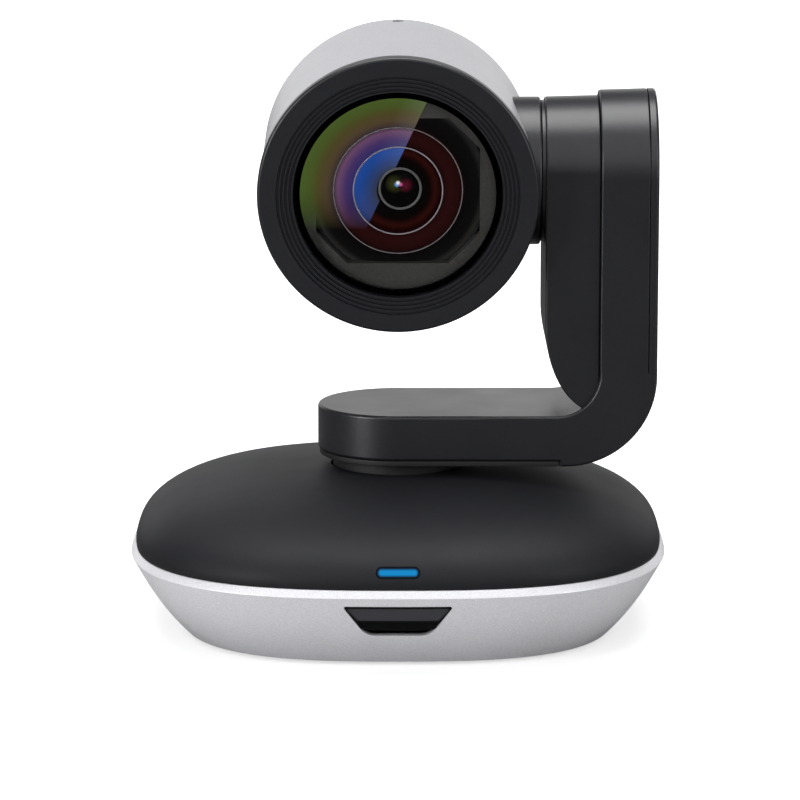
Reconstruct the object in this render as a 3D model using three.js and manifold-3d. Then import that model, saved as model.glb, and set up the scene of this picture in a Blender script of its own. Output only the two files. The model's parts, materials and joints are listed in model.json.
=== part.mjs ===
// A pan-tilt-zoom conference camera: a rounded-square base, an L-shaped arm that pans on it,
// and a round head that tilts on the arm. Millimetres, +Z up, the lens looks along -Y.
// The origin is on the table, on the pan axis.
import * as THREE from 'three';
import { mergeVertices } from 'three/addons/utils/BufferGeometryUtils.js';
import Module from 'manifold-3d';

const wasm = await Module();
wasm.setup();

// ---- Driving dimensions -------------------------------------------------------------------

const FIT = 0.1; // gap between pieces that are fixed to each other
const TURNED_FIT = 0.3; // the same inside the tilted head
const RUNNING = 0.08; // radial gap of a shaft in its bearing
const FAR = 200; // where a cutter ends, well outside the model

const base = {
  width: 131, depth: 130, planPower: 2.75, // outline is a superellipse of this power
  rimHeight: 18.9, floorInset: 12, footRise: 0.8, floorLift: 1.6, sideInset: 6.35, sidePull: 6.55,
  bevelHeight: 1.8, bevelInset: 1.3, frontCut: 50, footHollow: 50,
  wall: 2.2, coverWall: 2, coverRise: 18.05, coverBulge: 0.6, coverLift: 1, coverSweep: 3.2,
};
const foot = { radius: 5, recess: 0.8, x: 38, y: 26 };
const baseScrew = { x: 28, y: 38, shaft: 1.25, head: 2.6, headHeight: 1.6, post: 4, postTop: 8, length: 13 };
const irWindow = { topHalf: 12.7, bottomHalf: 6.8, top: 16.8, bottom: 9.7, corner: 2, sink: 0.8, thick: 1.8 };
const irReceiver = { halfX: 4, depth: 10, margin: 0.7 };
const led = { width: 10.4, height: 2.7, z: 24.7, sink: 0.2, thick: 3.2 };
const chassis = { thick: 1.6, halfX: 22, edge: 4.5, back: 38 };
const insert = { radius: 6, bore: 3, top: 11, flange: 8.5, flangeThick: 1.4 };
const sockets = {
  boardZ: 9, boardThick: 1.6, boardHalfX: 23, boardFront: 39, boardBack: 54,
  front: 45, mouth: 52.5, cutFrom: 40, sink: 0.8,
};
const powerJack = { x: -13, width: 9, height: 8, bore: 3 };
const usbSocket = { x: 13, width: 12, height: 8, wall: 0.8 };
const lockSlot = { x: 31, z: 14, width: 7, height: 3 };
const pan = {
  shaft: 9.1, cable: 4, bearingWall: 2.9, bearingTop: 26, bearingFoot: 16, bearingFootThick: 1.8,
  shaftBottom: 12.5, hub: 11, neck: 16, neckGap: 0.6, neckBottom: 33, screwY: 10,
  gearZ: 27.3, gearThick: 3, toothSize: 1, toothDepth: 1.15, toothReach: 0.75, gearTeeth: 40, pinionTeeth: 10,
  motorRadius: 12.3, motorTop: 24, motorShaft: 2,
};
const arm = {
  half: 19.7, bottom: 41, thick: 12.4, wall: 2.2, bevel: 0.8, plateThick: 1.4, plateInset: 0.4,
  joinX: 20, room: 11.7, sideThick: 2.1, innerCorner: 10.5, outerCorner: 22, coverBottom: 64,
  slabInset: 10.8, plateInsetX: 9.8, screwX: [22.8, 14.8], screwPost: 3, screwHole: 1.1,
};
const housing = { gap: 0.9, depth: 13.3, half: 18.2, wall: 1.8, ellipseDrop: 22, ellipseCentre: 76, cavityBottom: 70 };
const tilt = {
  height: 110.8, restPitch: 6, bearing: 12, shaft: 7, tail: 4.4, tailHole: 5.2, tailPast: 0.6, hub: 18,
  hubReach: 1.5, pulley: 12.4, motorPulley: 5, flange: 1.2, pulleyGap: 3.4, pulleyWidth: 5.6,
  beltThick: 1, beltGap: 0.3, motorZ: 82, motorRadius: 10.5, motorBoss: 6, motorShaft: 1.5, motorHole: 7,
};
const head = {
  radius: 33.1, wall: 2, seam: 23.7, back: 22.1, backRound: 9, capRadius: 22, capThick: 1.7,
  bezelProud: 0.5, bezelFront: 27, bezelChamfer: 0.5, stepOuter: 29.1, stepWidth: 1, stepDepth: 0.2, steps: 4,
  skirtDepth: 18, skirtWall: 2.4, ledge: 1.9, pocketDepth: 1.8, glassThick: 1.3, notchWidth: 2.6, notchDepth: 0.9,
};
const baffle = { halfX: 19.6, halfZ: 17.6, cut: 7, thick: 3, radius: 27.9 };
const barrel = { radius: 21.5, bore: 18.8, shoulder: 8, rearRadius: 18, rearBore: 16.5, rear: 16.9 };
const lens = { radius: 18.4, front: 17.4, edge: 2, bulge: 3.6, ringBore: 15.4, ringThick: 1.2 };
const carriage = {
  radius: 15.9, lensRadius: 10.6, lensThick: 2.6, rod: 1, rodX: 14, zoomY: -6, zoomThick: 4,
  focusY: 9, focusThick: 3, focusLens: 8, irisY: 5, irisThick: 1.5, irisBore: 4.9,
};
const sensor = { half: 4, thick: 1, boardHalf: 17, boardThick: 1.4 };
const yoke = { ringInset: 2.5, ringThick: 5, blockHalf: 13, blockInset: 12.1, blockEndInset: 3.1, shaftInset: 10.1 };
const hubScrew = { z: 11, shaft: 1.1, head: 2.2, headDepth: 1.6, reach: 10.6 };

// ---- Values that follow from them -----------------------------------------------------------

const halfWidth = base.width / 2;
const floorTop = base.footRise + base.wall;
const coverFoot = base.rimHeight + base.bevelHeight;
const coverTop = coverFoot + base.coverRise;
const armTop = arm.bottom + arm.thick;
const bezelRadius = head.radius + head.bezelProud;
const hubEnd = head.radius + tilt.hubReach;
const housingX = hubEnd + housing.gap;
const armX = housingX + housing.depth;
const shellX = armX + arm.room;
const outerX = shellX + arm.sideThick;
const slabEnd = armX - arm.slabInset;
const plateEnd = armX - arm.plateInsetX;
const pulleyStart = armX + tilt.pulleyGap;
const pulleyEnd = pulleyStart + tilt.pulleyWidth;
const tailEnd = pulleyEnd + tilt.tailPast;
const shaftStart = head.radius - yoke.shaftInset;
const plateTop = arm.bottom + arm.plateThick;
const chassisBottom = floorTop + FIT;
const chassisTop = chassisBottom + chassis.thick;
const pinionDistance = pan.toothSize * (pan.gearTeeth + pan.pinionTeeth) / 2;

// ---- Solids ---------------------------------------------------------------------------------

// Turns a closed three.js geometry into a solid whose faces point outward.
function solid(geometry) {
  const bare = geometry.index ? geometry.toNonIndexed() : geometry.clone();
  bare.deleteAttribute('normal');
  bare.deleteAttribute('uv');
  const merged = mergeVertices(bare, 1e-4);
  const vertices = Float32Array.from(merged.getAttribute('position').array);
  const corners = merged.index.array;
  const kept = [];
  for (let i = 0; i < corners.length; i += 3) {
    const [a, b, c] = [corners[i], corners[i + 1], corners[i + 2]];
    if (a !== b && b !== c && c !== a) kept.push(a, b, c);
  }
  const made = new wasm.Manifold(new wasm.Mesh({
    numProp: 3, vertProperties: vertices, triVerts: Uint32Array.from(kept),
  }));
  if (made.volume() >= 0) return made;
  for (let i = 0; i < kept.length; i += 3) [kept[i], kept[i + 1]] = [kept[i + 1], kept[i]];
  return new wasm.Manifold(new wasm.Mesh({
    numProp: 3, vertProperties: vertices, triVerts: Uint32Array.from(kept),
  }));
}

const join = (...solids) => solids.reduce((a, b) => a.add(b));
const cut = (body, ...tools) => tools.reduce((a, b) => a.subtract(b), body);
const common = (...solids) => solids.reduce((a, b) => a.intersect(b));

function geometryOf(made) {
  const mesh = made.getMesh();
  const geometry = new THREE.BufferGeometry();
  geometry.setAttribute('position', new THREE.BufferAttribute(mesh.vertProperties, 3));
  geometry.setIndex(new THREE.BufferAttribute(mesh.triVerts, 1));
  geometry.computeVertexNormals();
  return geometry;
}

function block(x0, x1, y0, y1, z0, z1) {
  const box = new THREE.BoxGeometry(x1 - x0, y1 - y0, z1 - z0);
  return solid(box.translate((x0 + x1) / 2, (y0 + y1) / 2, (z0 + z1) / 2));
}

function rodZ(radius, x, y, z0, z1, sides = 24) {
  const rod = new THREE.CylinderGeometry(radius, radius, z1 - z0, sides).rotateX(Math.PI / 2);
  return solid(rod.translate(x, y, (z0 + z1) / 2));
}

function rodX(radius, y, z, x0, x1, sides = 24) {
  const rod = new THREE.CylinderGeometry(radius, radius, x1 - x0, sides).rotateZ(-Math.PI / 2);
  return solid(rod.translate((x0 + x1) / 2, y, z));
}

function rodY(radius, x, z, y0, y1, sides = 24) {
  const rod = new THREE.CylinderGeometry(radius, radius, y1 - y0, sides);
  return solid(rod.translate(x, (y0 + y1) / 2, z));
}

// Profile points are [radius, place along the axis].
function latheGeometry(profile, sides) {
  return new THREE.LatheGeometry(profile.map(([r, t]) => new THREE.Vector2(r, t)), sides);
}
const turnedZ = (profile, sides = 20) => solid(latheGeometry(profile, sides).rotateX(Math.PI / 2));
const turnedX = (profile, sides = 20) => solid(latheGeometry(profile, sides).rotateZ(-Math.PI / 2));
const turnedY = (profile, sides = 36) => solid(latheGeometry(profile, sides));

const closed = (profile) => [...profile, profile[0]];
const ringProfile = (inner, outer, t0, t1) => closed([[inner, t0], [outer, t0], [outer, t1], [inner, t1]]);
const boreRadius = (shaft, gap, sides = 20) => (shaft + gap) / Math.cos(Math.PI / sides);

function outline(points) {
  return new THREE.Shape(points.map(([x, y]) => new THREE.Vector2(x, y)));
}

// An outline in x and z, extruded from y0 to y1, with an optional bevel on both rims.
function plateY(shape, y0, y1, bevel = 0) {
  const geometry = new THREE.ExtrudeGeometry(shape, bevelled(y1 - y0, bevel));
  return solid(geometry.rotateX(Math.PI / 2).translate(0, y1 - bevel, 0));
}

// An outline in y and z, extruded from x0 to x1.
function plateX(shape, x0, x1, bevel = 0) {
  const geometry = new THREE.ExtrudeGeometry(shape, bevelled(x1 - x0, bevel));
  return solid(geometry.rotateX(Math.PI / 2).rotateZ(Math.PI / 2).translate(x0 + bevel, 0, 0));
}

// An outline in x and y, extruded from z0 to z1.
function plateZ(shape, z0, z1, bevel = 0) {
  const geometry = new THREE.ExtrudeGeometry(shape, bevelled(z1 - z0, bevel));
  return solid(geometry.translate(0, 0, z0 + bevel));
}

function bevelled(depth, bevel) {
  return {
    depth: depth - 2 * bevel, curveSegments: 8, bevelEnabled: bevel > 0,
    bevelThickness: bevel, bevelSize: bevel, bevelOffset: -bevel, bevelSegments: 1,
  };
}

// ---- The scene ------------------------------------------------------------------------------

const camera = new THREE.Group();
const headGroup = new THREE.Group();
headGroup.position.z = tilt.height;
headGroup.rotation.x = THREE.MathUtils.degToRad(tilt.restPitch);
camera.add(headGroup);

const paints = {
  silver: [0xb9bbbf, 0.38, 0.55], black: [0x1d1e21, 0.45, 0.05], steel: [0xa7a9ac, 0.35, 0.95],
  brass: [0xb08d4a, 0.35, 0.95], board: [0x1f5a38, 0.5, 0.1], rubber: [0x18181a, 0.9, 0],
  glass: [0x1a2024, 0.05, 0], smoked: [0x0d0d10, 0.12, 0], blue: [0x0a7fd0, 0.3, 0],
  nylon: [0xd8d5cc, 0.6, 0],
};

function add(group, name, made, paint) {
  const [color, roughness, metalness] = paints[paint];
  const mesh = new THREE.Mesh(
    geometryOf(made),
    new THREE.MeshStandardMaterial({ name, color, roughness, metalness }),
  );
  mesh.name = name;
  group.add(mesh);
}

// ---- Base: tray and cover ---------------------------------------------------------------------

// Warps a round lathe about Z into the base's rounded-square plan.
function squareOff(geometry) {
  const place = geometry.getAttribute('position');
  for (let i = 0; i < place.count; i += 1) {
    const [x, y] = [place.getX(i), place.getY(i)];
    const r = Math.hypot(x, y);
    if (r < 1e-6) continue;
    const spread = Math.abs(x / r) ** base.planPower + Math.abs(y / r) ** base.planPower;
    const grow = spread ** (-1 / base.planPower);
    place.setXY(i, x * grow, y * grow * base.depth / base.width);
  }
  return geometry;
}
const squircle = (profile) => solid(squareOff(latheGeometry(profile, 40).rotateX(Math.PI / 2)));

// Points of a cubic curve in [radius, height], moved inward by a distance.
function curvePoints(ends, steps, inward) {
  const curve = new THREE.CubicBezierCurve(...ends.map(([r, z]) => new THREE.Vector2(r, z)));
  const points = [];
  for (let i = 0; i <= steps; i += 1) {
    const at = curve.getPoint(i / steps);
    const along = curve.getTangent(i / steps);
    points.push([at.x - along.y * inward, at.y + along.x * inward]);
  }
  return points;
}

const trayCurve = [
  [halfWidth - base.floorInset, base.footRise],
  [halfWidth - base.floorInset, base.footRise + base.floorLift],
  [halfWidth - base.sideInset, base.sidePull], [halfWidth, base.rimHeight],
];
const coverHalf = halfWidth - base.bevelInset;
const coverCurve = [
  [coverHalf, coverFoot], [coverHalf + base.coverBulge, coverFoot + base.coverLift],
  [coverHalf + base.coverSweep, coverTop], [0, coverTop],
];

// The tray's outer surface moved inward, filled up to a height.
function bowl(inward, top) {
  const side = curvePoints(trayCurve, 6, inward).filter(([, z]) => z > base.footRise + inward + 0.05);
  const rim = side[side.length - 1];
  const floorZ = base.footRise + inward;
  const [start] = side;
  const foot0 = inward === 0 ? halfWidth - base.floorInset : start[0] - 0.8;
  return squircle([[0, floorZ], [foot0, floorZ], ...side, [rim[0], top], [0, top]]);
}

// The cover's outer surface moved inward, filled down to its foot.
function dome(inward) {
  const roof = curvePoints(coverCurve, 7, inward).filter(([r]) => r > 0.5);
  return squircle([[0, coverFoot], [roof[0][0], coverFoot], ...roof.slice(1), [0, coverTop - inward]]);
}

const trayRim = squircle([
  [0, base.rimHeight - 1], [halfWidth - 0.4, base.rimHeight - 1], [halfWidth, base.rimHeight],
  [coverHalf + 0.2, coverFoot - FIT], [0, coverFoot - FIT],
]);

const corners = (x, y) => [[x, y], [-x, y], [-x, -y], [x, -y]];
const irOutline = (grow) => outline([
  [-irWindow.topHalf - grow, irWindow.top + grow], [irWindow.topHalf + grow, irWindow.top + grow],
  [irWindow.bottomHalf + irWindow.corner * 0.8 + grow, irWindow.bottom + irWindow.corner * 0.7],
  [irWindow.bottomHalf + grow * 0.5, irWindow.bottom - grow],
  [-irWindow.bottomHalf - grow * 0.5, irWindow.bottom - grow],
  [-irWindow.bottomHalf - irWindow.corner * 0.8 - grow, irWindow.bottom + irWindow.corner * 0.7],
]);

function stadium(width, height, z) {
  const shape = new THREE.Shape();
  const half = (width - height) / 2;
  shape.absarc(half, z, height / 2, -Math.PI / 2, Math.PI / 2);
  shape.absarc(-half, z, height / 2, Math.PI / 2, 1.5 * Math.PI);
  return shape;
}

function socketBlock(socket, grow, y0, y1) {
  const z0 = sockets.boardZ + sockets.boardThick + FIT;
  return block(
    socket.x - socket.width / 2 - grow, socket.x + socket.width / 2 + grow,
    y0, y1, z0 - grow, z0 + socket.height + grow,
  );
}

function buildBaseShells() {
  const inside = bowl(base.wall, coverFoot + 1);
  let tray = cut(join(bowl(0, base.rimHeight), trayRim), inside);
  for (const [x, y] of corners(baseScrew.x, baseScrew.y)) {
    tray = join(tray, rodZ(baseScrew.post, x, y, floorTop - 0.5, baseScrew.postTop, 16));
    tray = cut(
      tray,
      rodZ(baseScrew.head + 0.3, x, y, 0, floorTop + baseScrew.headHeight, 16),
      rodZ(baseScrew.shaft + FIT, x, y, 0, baseScrew.postTop + 1, 12),
    );
  }
  for (const [x, y] of corners(foot.x, foot.y)) {
    tray = cut(tray, rodZ(foot.radius + FIT, x, y, 0, base.footRise + foot.recess, 20));
  }
  tray = cut(
    tray,
    rodZ(insert.radius + FIT, 0, 0, 0, floorTop + 1),
    plateY(irOutline(0), -FAR, -base.frontCut),
    socketBlock(powerJack, TURNED_FIT, sockets.cutFrom, FAR),
    socketBlock(usbSocket, TURNED_FIT, sockets.cutFrom, FAR),
    block(
      lockSlot.x - lockSlot.width / 2, lockSlot.x + lockSlot.width / 2, sockets.cutFrom, FAR,
      lockSlot.z - lockSlot.height / 2, lockSlot.z + lockSlot.height / 2,
    ),
  );
  add(camera, 'base_tray', tray, 'silver');

  const { footHollow: half } = base;
  const open = block(-half, half, -half, half, coverFoot - 1, coverFoot + 1);
  let cover = cut(dome(0), join(dome(base.coverWall), open));
  const posts = corners(baseScrew.x, baseScrew.y).map(([x, y]) => cut(
    rodZ(baseScrew.post, x, y, baseScrew.postTop + FIT, coverTop, 16),
    rodZ(baseScrew.shaft + FIT, x, y, baseScrew.postTop, baseScrew.postTop + baseScrew.length, 12),
  ));
  const under = join(dome(0.5), block(-FAR, FAR, -FAR, FAR, 0, coverFoot + 1));
  for (const post of posts) cover = join(cover, common(post, under));
  cover = cut(
    cover,
    rodZ(pan.neck + pan.neckGap, 0, 0, coverFoot, FAR, 32),
    plateY(stadium(led.width, led.height, led.z), -FAR, -base.frontCut),
  );
  add(camera, 'base_cover', cover, 'black');
}

function buildBaseTrim() {
  const window = cut(
    common(plateY(irOutline(-FIT), -FAR, -base.frontCut), bowl(irWindow.sink, coverFoot)),
    bowl(irWindow.sink + irWindow.thick, coverFoot),
  );
  add(camera, 'ir_window', window, 'smoked');
  const lensShape = stadium(led.width - 2 * FIT, led.height - 2 * FIT, led.z);
  const ledLens = cut(common(plateY(lensShape, -FAR, -base.frontCut), dome(led.sink)), dome(led.sink + led.thick));
  add(camera, 'led_lens', ledLens, 'blue');
  const { halfX, depth, margin } = irReceiver;
  const seat = bowl(irWindow.sink + irWindow.thick + FIT, coverFoot);
  const front = -base.depth / 2;
  const receiver = block(-halfX, halfX, front, front + depth, irWindow.bottom + margin, irWindow.top - margin);
  add(camera, 'ir_receiver', common(receiver, seat), 'smoked');
}

function buildBaseInside() {
  const front = -base.depth / 2 + base.floorInset + chassis.edge;
  const plate = block(-chassis.halfX, chassis.halfX, front, chassis.back, chassisBottom, chassisTop);
  add(camera, 'base_chassis', cut(plate, rodZ(insert.radius + FIT, 0, 0, 0, 20)), 'steel');
  add(camera, 'tripod_insert', turnedZ([
    [0, insert.top], [insert.flange, insert.top],
    [insert.flange, insert.top - insert.flangeThick], [insert.radius, insert.top - insert.flangeThick],
    [insert.radius, base.footRise + FIT], [insert.bore, base.footRise + FIT],
    [insert.bore, insert.top - 1], [0, insert.top - 1],
  ], 24), 'brass');
  corners(foot.x, foot.y).forEach(([x, y], i) => {
    const top = base.footRise + foot.recess - FIT;
    add(camera, `foot_pad_${i + 1}`, rodZ(foot.radius, x, y, 0, top, 20), 'rubber');
  });
  corners(baseScrew.x, baseScrew.y).forEach(([x, y], i) => {
    const seat = floorTop + baseScrew.headHeight - FIT;
    const head0 = seat - baseScrew.headHeight;
    add(camera, `base_screw_${i + 1}`, join(
      rodZ(baseScrew.head, x, y, head0, seat, 16),
      rodZ(baseScrew.shaft, x, y, seat - 0.5, baseScrew.postTop + baseScrew.length - 1, 12),
    ), 'steel');
  });
}

function buildSockets() {
  const boardTop = sockets.boardZ + sockets.boardThick;
  const board = block(
    -sockets.boardHalfX, sockets.boardHalfX, sockets.boardFront, sockets.boardBack, sockets.boardZ, boardTop,
  );
  add(camera, 'main_board', board, 'board');
  const middle = boardTop + FIT + powerJack.height / 2;
  const flush = bowl(sockets.sink, coverFoot);
  const jack = common(socketBlock(powerJack, 0, sockets.front, FAR), flush);
  add(camera, 'dc_jack', cut(jack, rodY(powerJack.bore, powerJack.x, middle, sockets.mouth, FAR)), 'black');
  const usb = common(socketBlock(usbSocket, 0, sockets.front, FAR), flush);
  const hollow = socketBlock(usbSocket, -usbSocket.wall, sockets.mouth, FAR);
  add(camera, 'usb_socket', cut(usb, hollow), 'steel');
}

// ---- Pan drive --------------------------------------------------------------------------------

// Straight-flanked teeth round a circle, narrow enough to run with a little play.
function gearShape(teeth) {
  const pitch = pan.toothSize * teeth / 2;
  const [root, tip] = [pitch - pan.toothDepth, pitch + pan.toothReach];
  const points = [];
  for (let i = 0; i < teeth; i += 1) {
    const middle = i * 2 * Math.PI / teeth;
    const share = 2 * Math.PI / teeth;
    for (const [r, turn] of [[root, -0.32], [tip, -0.1], [tip, 0.1], [root, 0.32]]) {
      points.push([r * Math.cos(middle + turn * share), r * Math.sin(middle + turn * share)]);
    }
  }
  return outline(points);
}

function buildPanDrive() {
  const bearingOuter = pan.shaft + pan.bearingWall;
  const bearingBore = boreRadius(pan.shaft, RUNNING);
  const bearing = turnedZ(closed([
    [bearingBore, insert.top + 0.4], [insert.flange + 0.4, insert.top + 0.4],
    [insert.flange + 0.4, chassisTop + FIT], [pan.bearingFoot, chassisTop + FIT],
    [pan.bearingFoot - 4, chassisTop + FIT + pan.bearingFootThick], [bearingOuter, pan.bearingFootThick + 6],
    [bearingOuter, pan.bearingTop], [bearingBore, pan.bearingTop],
  ]));
  const motorRoom = rodZ(pan.motorRadius + TURNED_FIT, 0, pinionDistance, 0, pan.motorTop);
  add(camera, 'pan_bearing', cut(bearing, motorRoom), 'steel');
  const flangeZ = pan.bearingTop + FIT;
  const plateUnder = arm.bottom - FIT;
  const turntable = turnedZ(closed([
    [pan.cable, pan.shaftBottom], [pan.shaft, pan.shaftBottom], [pan.shaft, flangeZ], [pan.hub, flangeZ],
    [pan.hub, pan.neckBottom], [pan.neck, pan.neckBottom], [pan.neck, plateUnder], [pan.cable, plateUnder],
  ]));
  const screwHoles = [-pan.screwY, pan.screwY].map((y) => rodZ(1.3, 0, y, pan.neckBottom + 1, 45, 12));
  add(camera, 'turntable', cut(turntable, ...screwHoles), 'black');
  const gear = plateZ(gearShape(pan.gearTeeth), pan.gearZ, pan.gearZ + pan.gearThick);
  add(camera, 'pan_gear', cut(gear, rodZ(boreRadius(pan.hub, FIT), 0, 0, 0, FAR)), 'nylon');
  [-pan.screwY, pan.screwY].forEach((y, i) => {
    add(camera, `pan_screw_${i + 1}`, join(
      rodZ(2.2, 0, y, plateTop + FIT, plateTop + 1.6, 16),
      rodZ(1.2, 0, y, pan.neckBottom + 2, plateTop + 0.6, 12),
    ), 'steel');
  });
  const motor = join(
    rodZ(pan.motorRadius, 0, pinionDistance, chassisTop + FIT, pan.motorTop, 28),
    rodZ(pan.motorShaft + 2, 0, pinionDistance, pan.motorTop - 1, pan.motorTop + 1.5, 20),
  );
  const shaftBore = boreRadius(pan.motorShaft, RUNNING, 20);
  const motorHole = rodZ(shaftBore, 0, pinionDistance, pan.motorTop - 4, FAR, 20);
  add(camera, 'pan_motor', cut(motor, motorHole), 'steel');
  const pinionZ = pan.motorTop + 1.5 + 3 * FIT;
  const pinion = plateZ(gearShape(pan.pinionTeeth), 0, pan.gearThick + 1);
  add(camera, 'pan_pinion', join(
    pinion.translate([0, pinionDistance, pinionZ + 0.6]),
    rodZ(pan.motorShaft + 0.8, 0, pinionDistance, pinionZ, pinionZ + 1, 20),
    rodZ(pan.motorShaft, 0, pinionDistance, pan.motorTop - 3.5, pinionZ + 0.5, 20),
  ), 'brass');
}

// ---- Arm ---------------------------------------------------------------------------------------

// The level part's plan: a strip with a round end over the pan axis.
function armPlan(inset, end) {
  const shape = new THREE.Shape();
  const half = arm.half - inset;
  shape.absarc(0, 0, half, Math.PI / 2, 1.5 * Math.PI);
  shape.lineTo(end, -half);
  shape.lineTo(end, half);
  return shape;
}

// The upright part seen from the side: a strip with a round top about the tilt axis.
function uprightSide(half, bottom) {
  const shape = new THREE.Shape();
  shape.absarc(0, tilt.height, half, 0, Math.PI);
  shape.lineTo(-half, bottom);
  shape.lineTo(half, bottom);
  return shape;
}

// The arm seen from the front: an L with a round inner and outer corner.
function armFront() {
  const shape = new THREE.Shape();
  const [start, roof] = [arm.joinX - 5, FAR];
  shape.moveTo(start, arm.bottom);
  shape.lineTo(outerX - arm.outerCorner, arm.bottom);
  shape.absarc(outerX - arm.outerCorner, arm.bottom + arm.outerCorner, arm.outerCorner, -Math.PI / 2, 0);
  shape.lineTo(outerX, roof);
  shape.lineTo(armX, roof);
  shape.absarc(armX - arm.innerCorner, armTop + arm.innerCorner, arm.innerCorner, 0, -Math.PI / 2, true);
  shape.lineTo(start, armTop);
  return shape;
}

function armBody() {
  const slab = common(
    plateZ(armPlan(0, arm.joinX + 20), arm.bottom, armTop, arm.bevel),
    block(-FAR, arm.joinX + 0.01, -FAR, FAR, 0, FAR),
  );
  const bend = common(plateY(armFront(), -arm.half, arm.half, arm.bevel), block(arm.joinX, FAR, -FAR, FAR, 0, FAR + 1));
  const side = plateX(uprightSide(arm.half, 0), armX, outerX, arm.bevel);
  return join(slab, common(bend, join(side, block(0, FAR, -FAR, FAR, 0, arm.coverBottom))));
}

function buildArm() {
  const body = armBody();
  const coverBox = block(shellX, FAR, -FAR, FAR, arm.coverBottom, FAR + 1);
  const plateBox = block(-FAR, plateEnd, -FAR, FAR, 0, plateTop);
  const wallX = armX + arm.wall - 0.2;
  const levelHollow = plateZ(armPlan(arm.wall, slabEnd), 0, armTop - arm.wall);
  const uprightHollow = plateX(uprightSide(arm.half - arm.wall, arm.coverBottom + arm.wall), wallX, FAR);
  const duct = join(
    block(slabEnd - 2, armX + 3.2, -8, 8, arm.bottom + 5, armTop - arm.wall),
    block(wallX, armX + 6.2, -8, 8, arm.bottom + 8, arm.coverBottom + 4),
  );
  const screwX = arm.screwX.map((inset) => armX - inset);
  let shell = cut(
    body, coverBox, plateBox, levelHollow, uprightHollow, duct,
    rodX(tilt.tailHole, 0, tilt.height, armX - 1, wallX + 1),
    rodX(tilt.motorHole, 0, tilt.motorZ, armX - 1, wallX + 1),
  );
  for (const x of screwX) {
    shell = join(shell, rodZ(arm.screwPost, x, 0, plateTop, armTop - arm.wall + 0.2, 16));
    shell = cut(shell, rodZ(arm.screwHole, x, 0, plateTop - 1, plateTop + 6, 12));
  }
  add(camera, 'arm_shell', shell, 'black');

  const plate = cut(
    plateZ(armPlan(arm.plateInset, plateEnd - FIT), arm.bottom, plateTop - FIT),
    rodZ(pan.cable, 0, 0, 0, FAR),
    ...[-pan.screwY, pan.screwY].map((y) => rodZ(1.3, 0, y, 0, FAR, 12)),
    ...screwX.map((x) => turnedZ([[0, arm.bottom - 1], [2.4, arm.bottom - 1], [2.4, arm.bottom + 0.2],
      [1.3, plateTop], [1.3, FAR], [0, FAR]], 16).translate([x, 0, 0])),
  );
  add(camera, 'arm_bottom_cover', plate, 'black');
  screwX.forEach((x, i) => {
    const screw = turnedZ([
      [0, arm.bottom], [2.2, arm.bottom], [1, plateTop - 0.1], [1, plateTop + 5], [0, plateTop + 5],
    ], 16);
    add(camera, `arm_screw_${i + 1}`, screw.translate([x, 0, 0]), 'steel');
  });

  const sideCover = common(body, block(shellX + FIT, FAR, -FAR, FAR, arm.coverBottom + FIT, FAR + 1));
  add(camera, 'arm_side_cover', sideCover, 'black');
  buildHousing(body);
}

function buildHousing(body) {
  const { depth } = housing;
  const lower = new THREE.Shape();
  lower.moveTo(armX, FAR);
  lower.lineTo(housingX, FAR);
  lower.lineTo(housingX, housing.ellipseCentre);
  for (let i = 1; i <= 10; i += 1) {
    const turn = i * Math.PI / 20;
    lower.lineTo(armX - depth * Math.cos(turn), housing.ellipseCentre - housing.ellipseDrop * Math.sin(turn));
  }
  const side = plateX(uprightSide(housing.half, 20), housingX, armX + 5, arm.bevel);
  const outer = cut(common(side, plateY(lower, -FAR, FAR)), body);
  const cavityX = housingX + housing.wall;
  const cavity = plateX(uprightSide(housing.half - housing.wall, housing.cavityBottom), cavityX, FAR);
  const whole = common(outer, block(0, armX - FIT, -FAR, FAR, 0, FAR));
  const entry = rodX(tilt.shaft + 1, 0, tilt.height, 0, FAR);
  add(camera, 'arm_inner_housing', cut(whole, cavity, entry), 'black');

  const bore = boreRadius(tilt.shaft, RUNNING);
  const bearing = turnedX(ringProfile(bore, tilt.bearing, cavityX + FIT, armX - 3 * FIT));
  add(camera, 'tilt_bearing', bearing.translate([0, 0, tilt.height]), 'steel');

  const bossEnd = armX + arm.wall;
  const motor = cut(
    join(
      rodX(tilt.motorRadius, 0, tilt.motorZ, cavityX + FIT, armX - 2 * FIT, 28),
      rodX(tilt.motorBoss, 0, tilt.motorZ, armX - 1, bossEnd),
    ),
    rodX(boreRadius(tilt.motorShaft, RUNNING, 20), 0, tilt.motorZ, armX - 3, FAR, 20),
  );
  add(camera, 'tilt_motor', motor, 'steel');
}

// A pulley with a flange at each end and a shaft reaching back to x0.
function pulleyProfile(radius, shaft, x0) {
  const [a, b] = [pulleyStart, pulleyEnd];
  return [
    [0, x0], [shaft, x0], [shaft, a], [radius + tilt.flange, a], [radius + tilt.flange, a + 0.5],
    [radius, a + 0.7], [radius, b - 0.7], [radius + tilt.flange, b - 0.5], [radius + tilt.flange, b], [0, b],
  ];
}

function buildBelt() {
  const drop = tilt.height - tilt.motorZ;
  const lean = Math.asin((tilt.pulley - tilt.motorPulley) / drop);
  const loop = (extra) => {
    const shape = new THREE.Shape();
    shape.absarc(0, tilt.height, tilt.pulley + extra, -lean, Math.PI + lean);
    shape.absarc(0, tilt.motorZ, tilt.motorPulley + extra, Math.PI + lean, 2 * Math.PI - lean);
    return shape;
  };
  const inside = pulleyStart + 1;
  const belt = cut(
    plateX(loop(tilt.beltGap + tilt.beltThick), inside, pulleyEnd - 1),
    plateX(loop(tilt.beltGap), 0, FAR),
  );
  add(camera, 'tilt_belt', belt, 'rubber');
  const motorPulley = turnedX(pulleyProfile(tilt.motorPulley, tilt.motorShaft, armX - 2.5), 24);
  add(camera, 'motor_pulley', motorPulley.translate([0, 0, tilt.motorZ]), 'nylon');
}

// ---- Head: modelled level, about the tilt axis --------------------------------------------------

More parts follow.
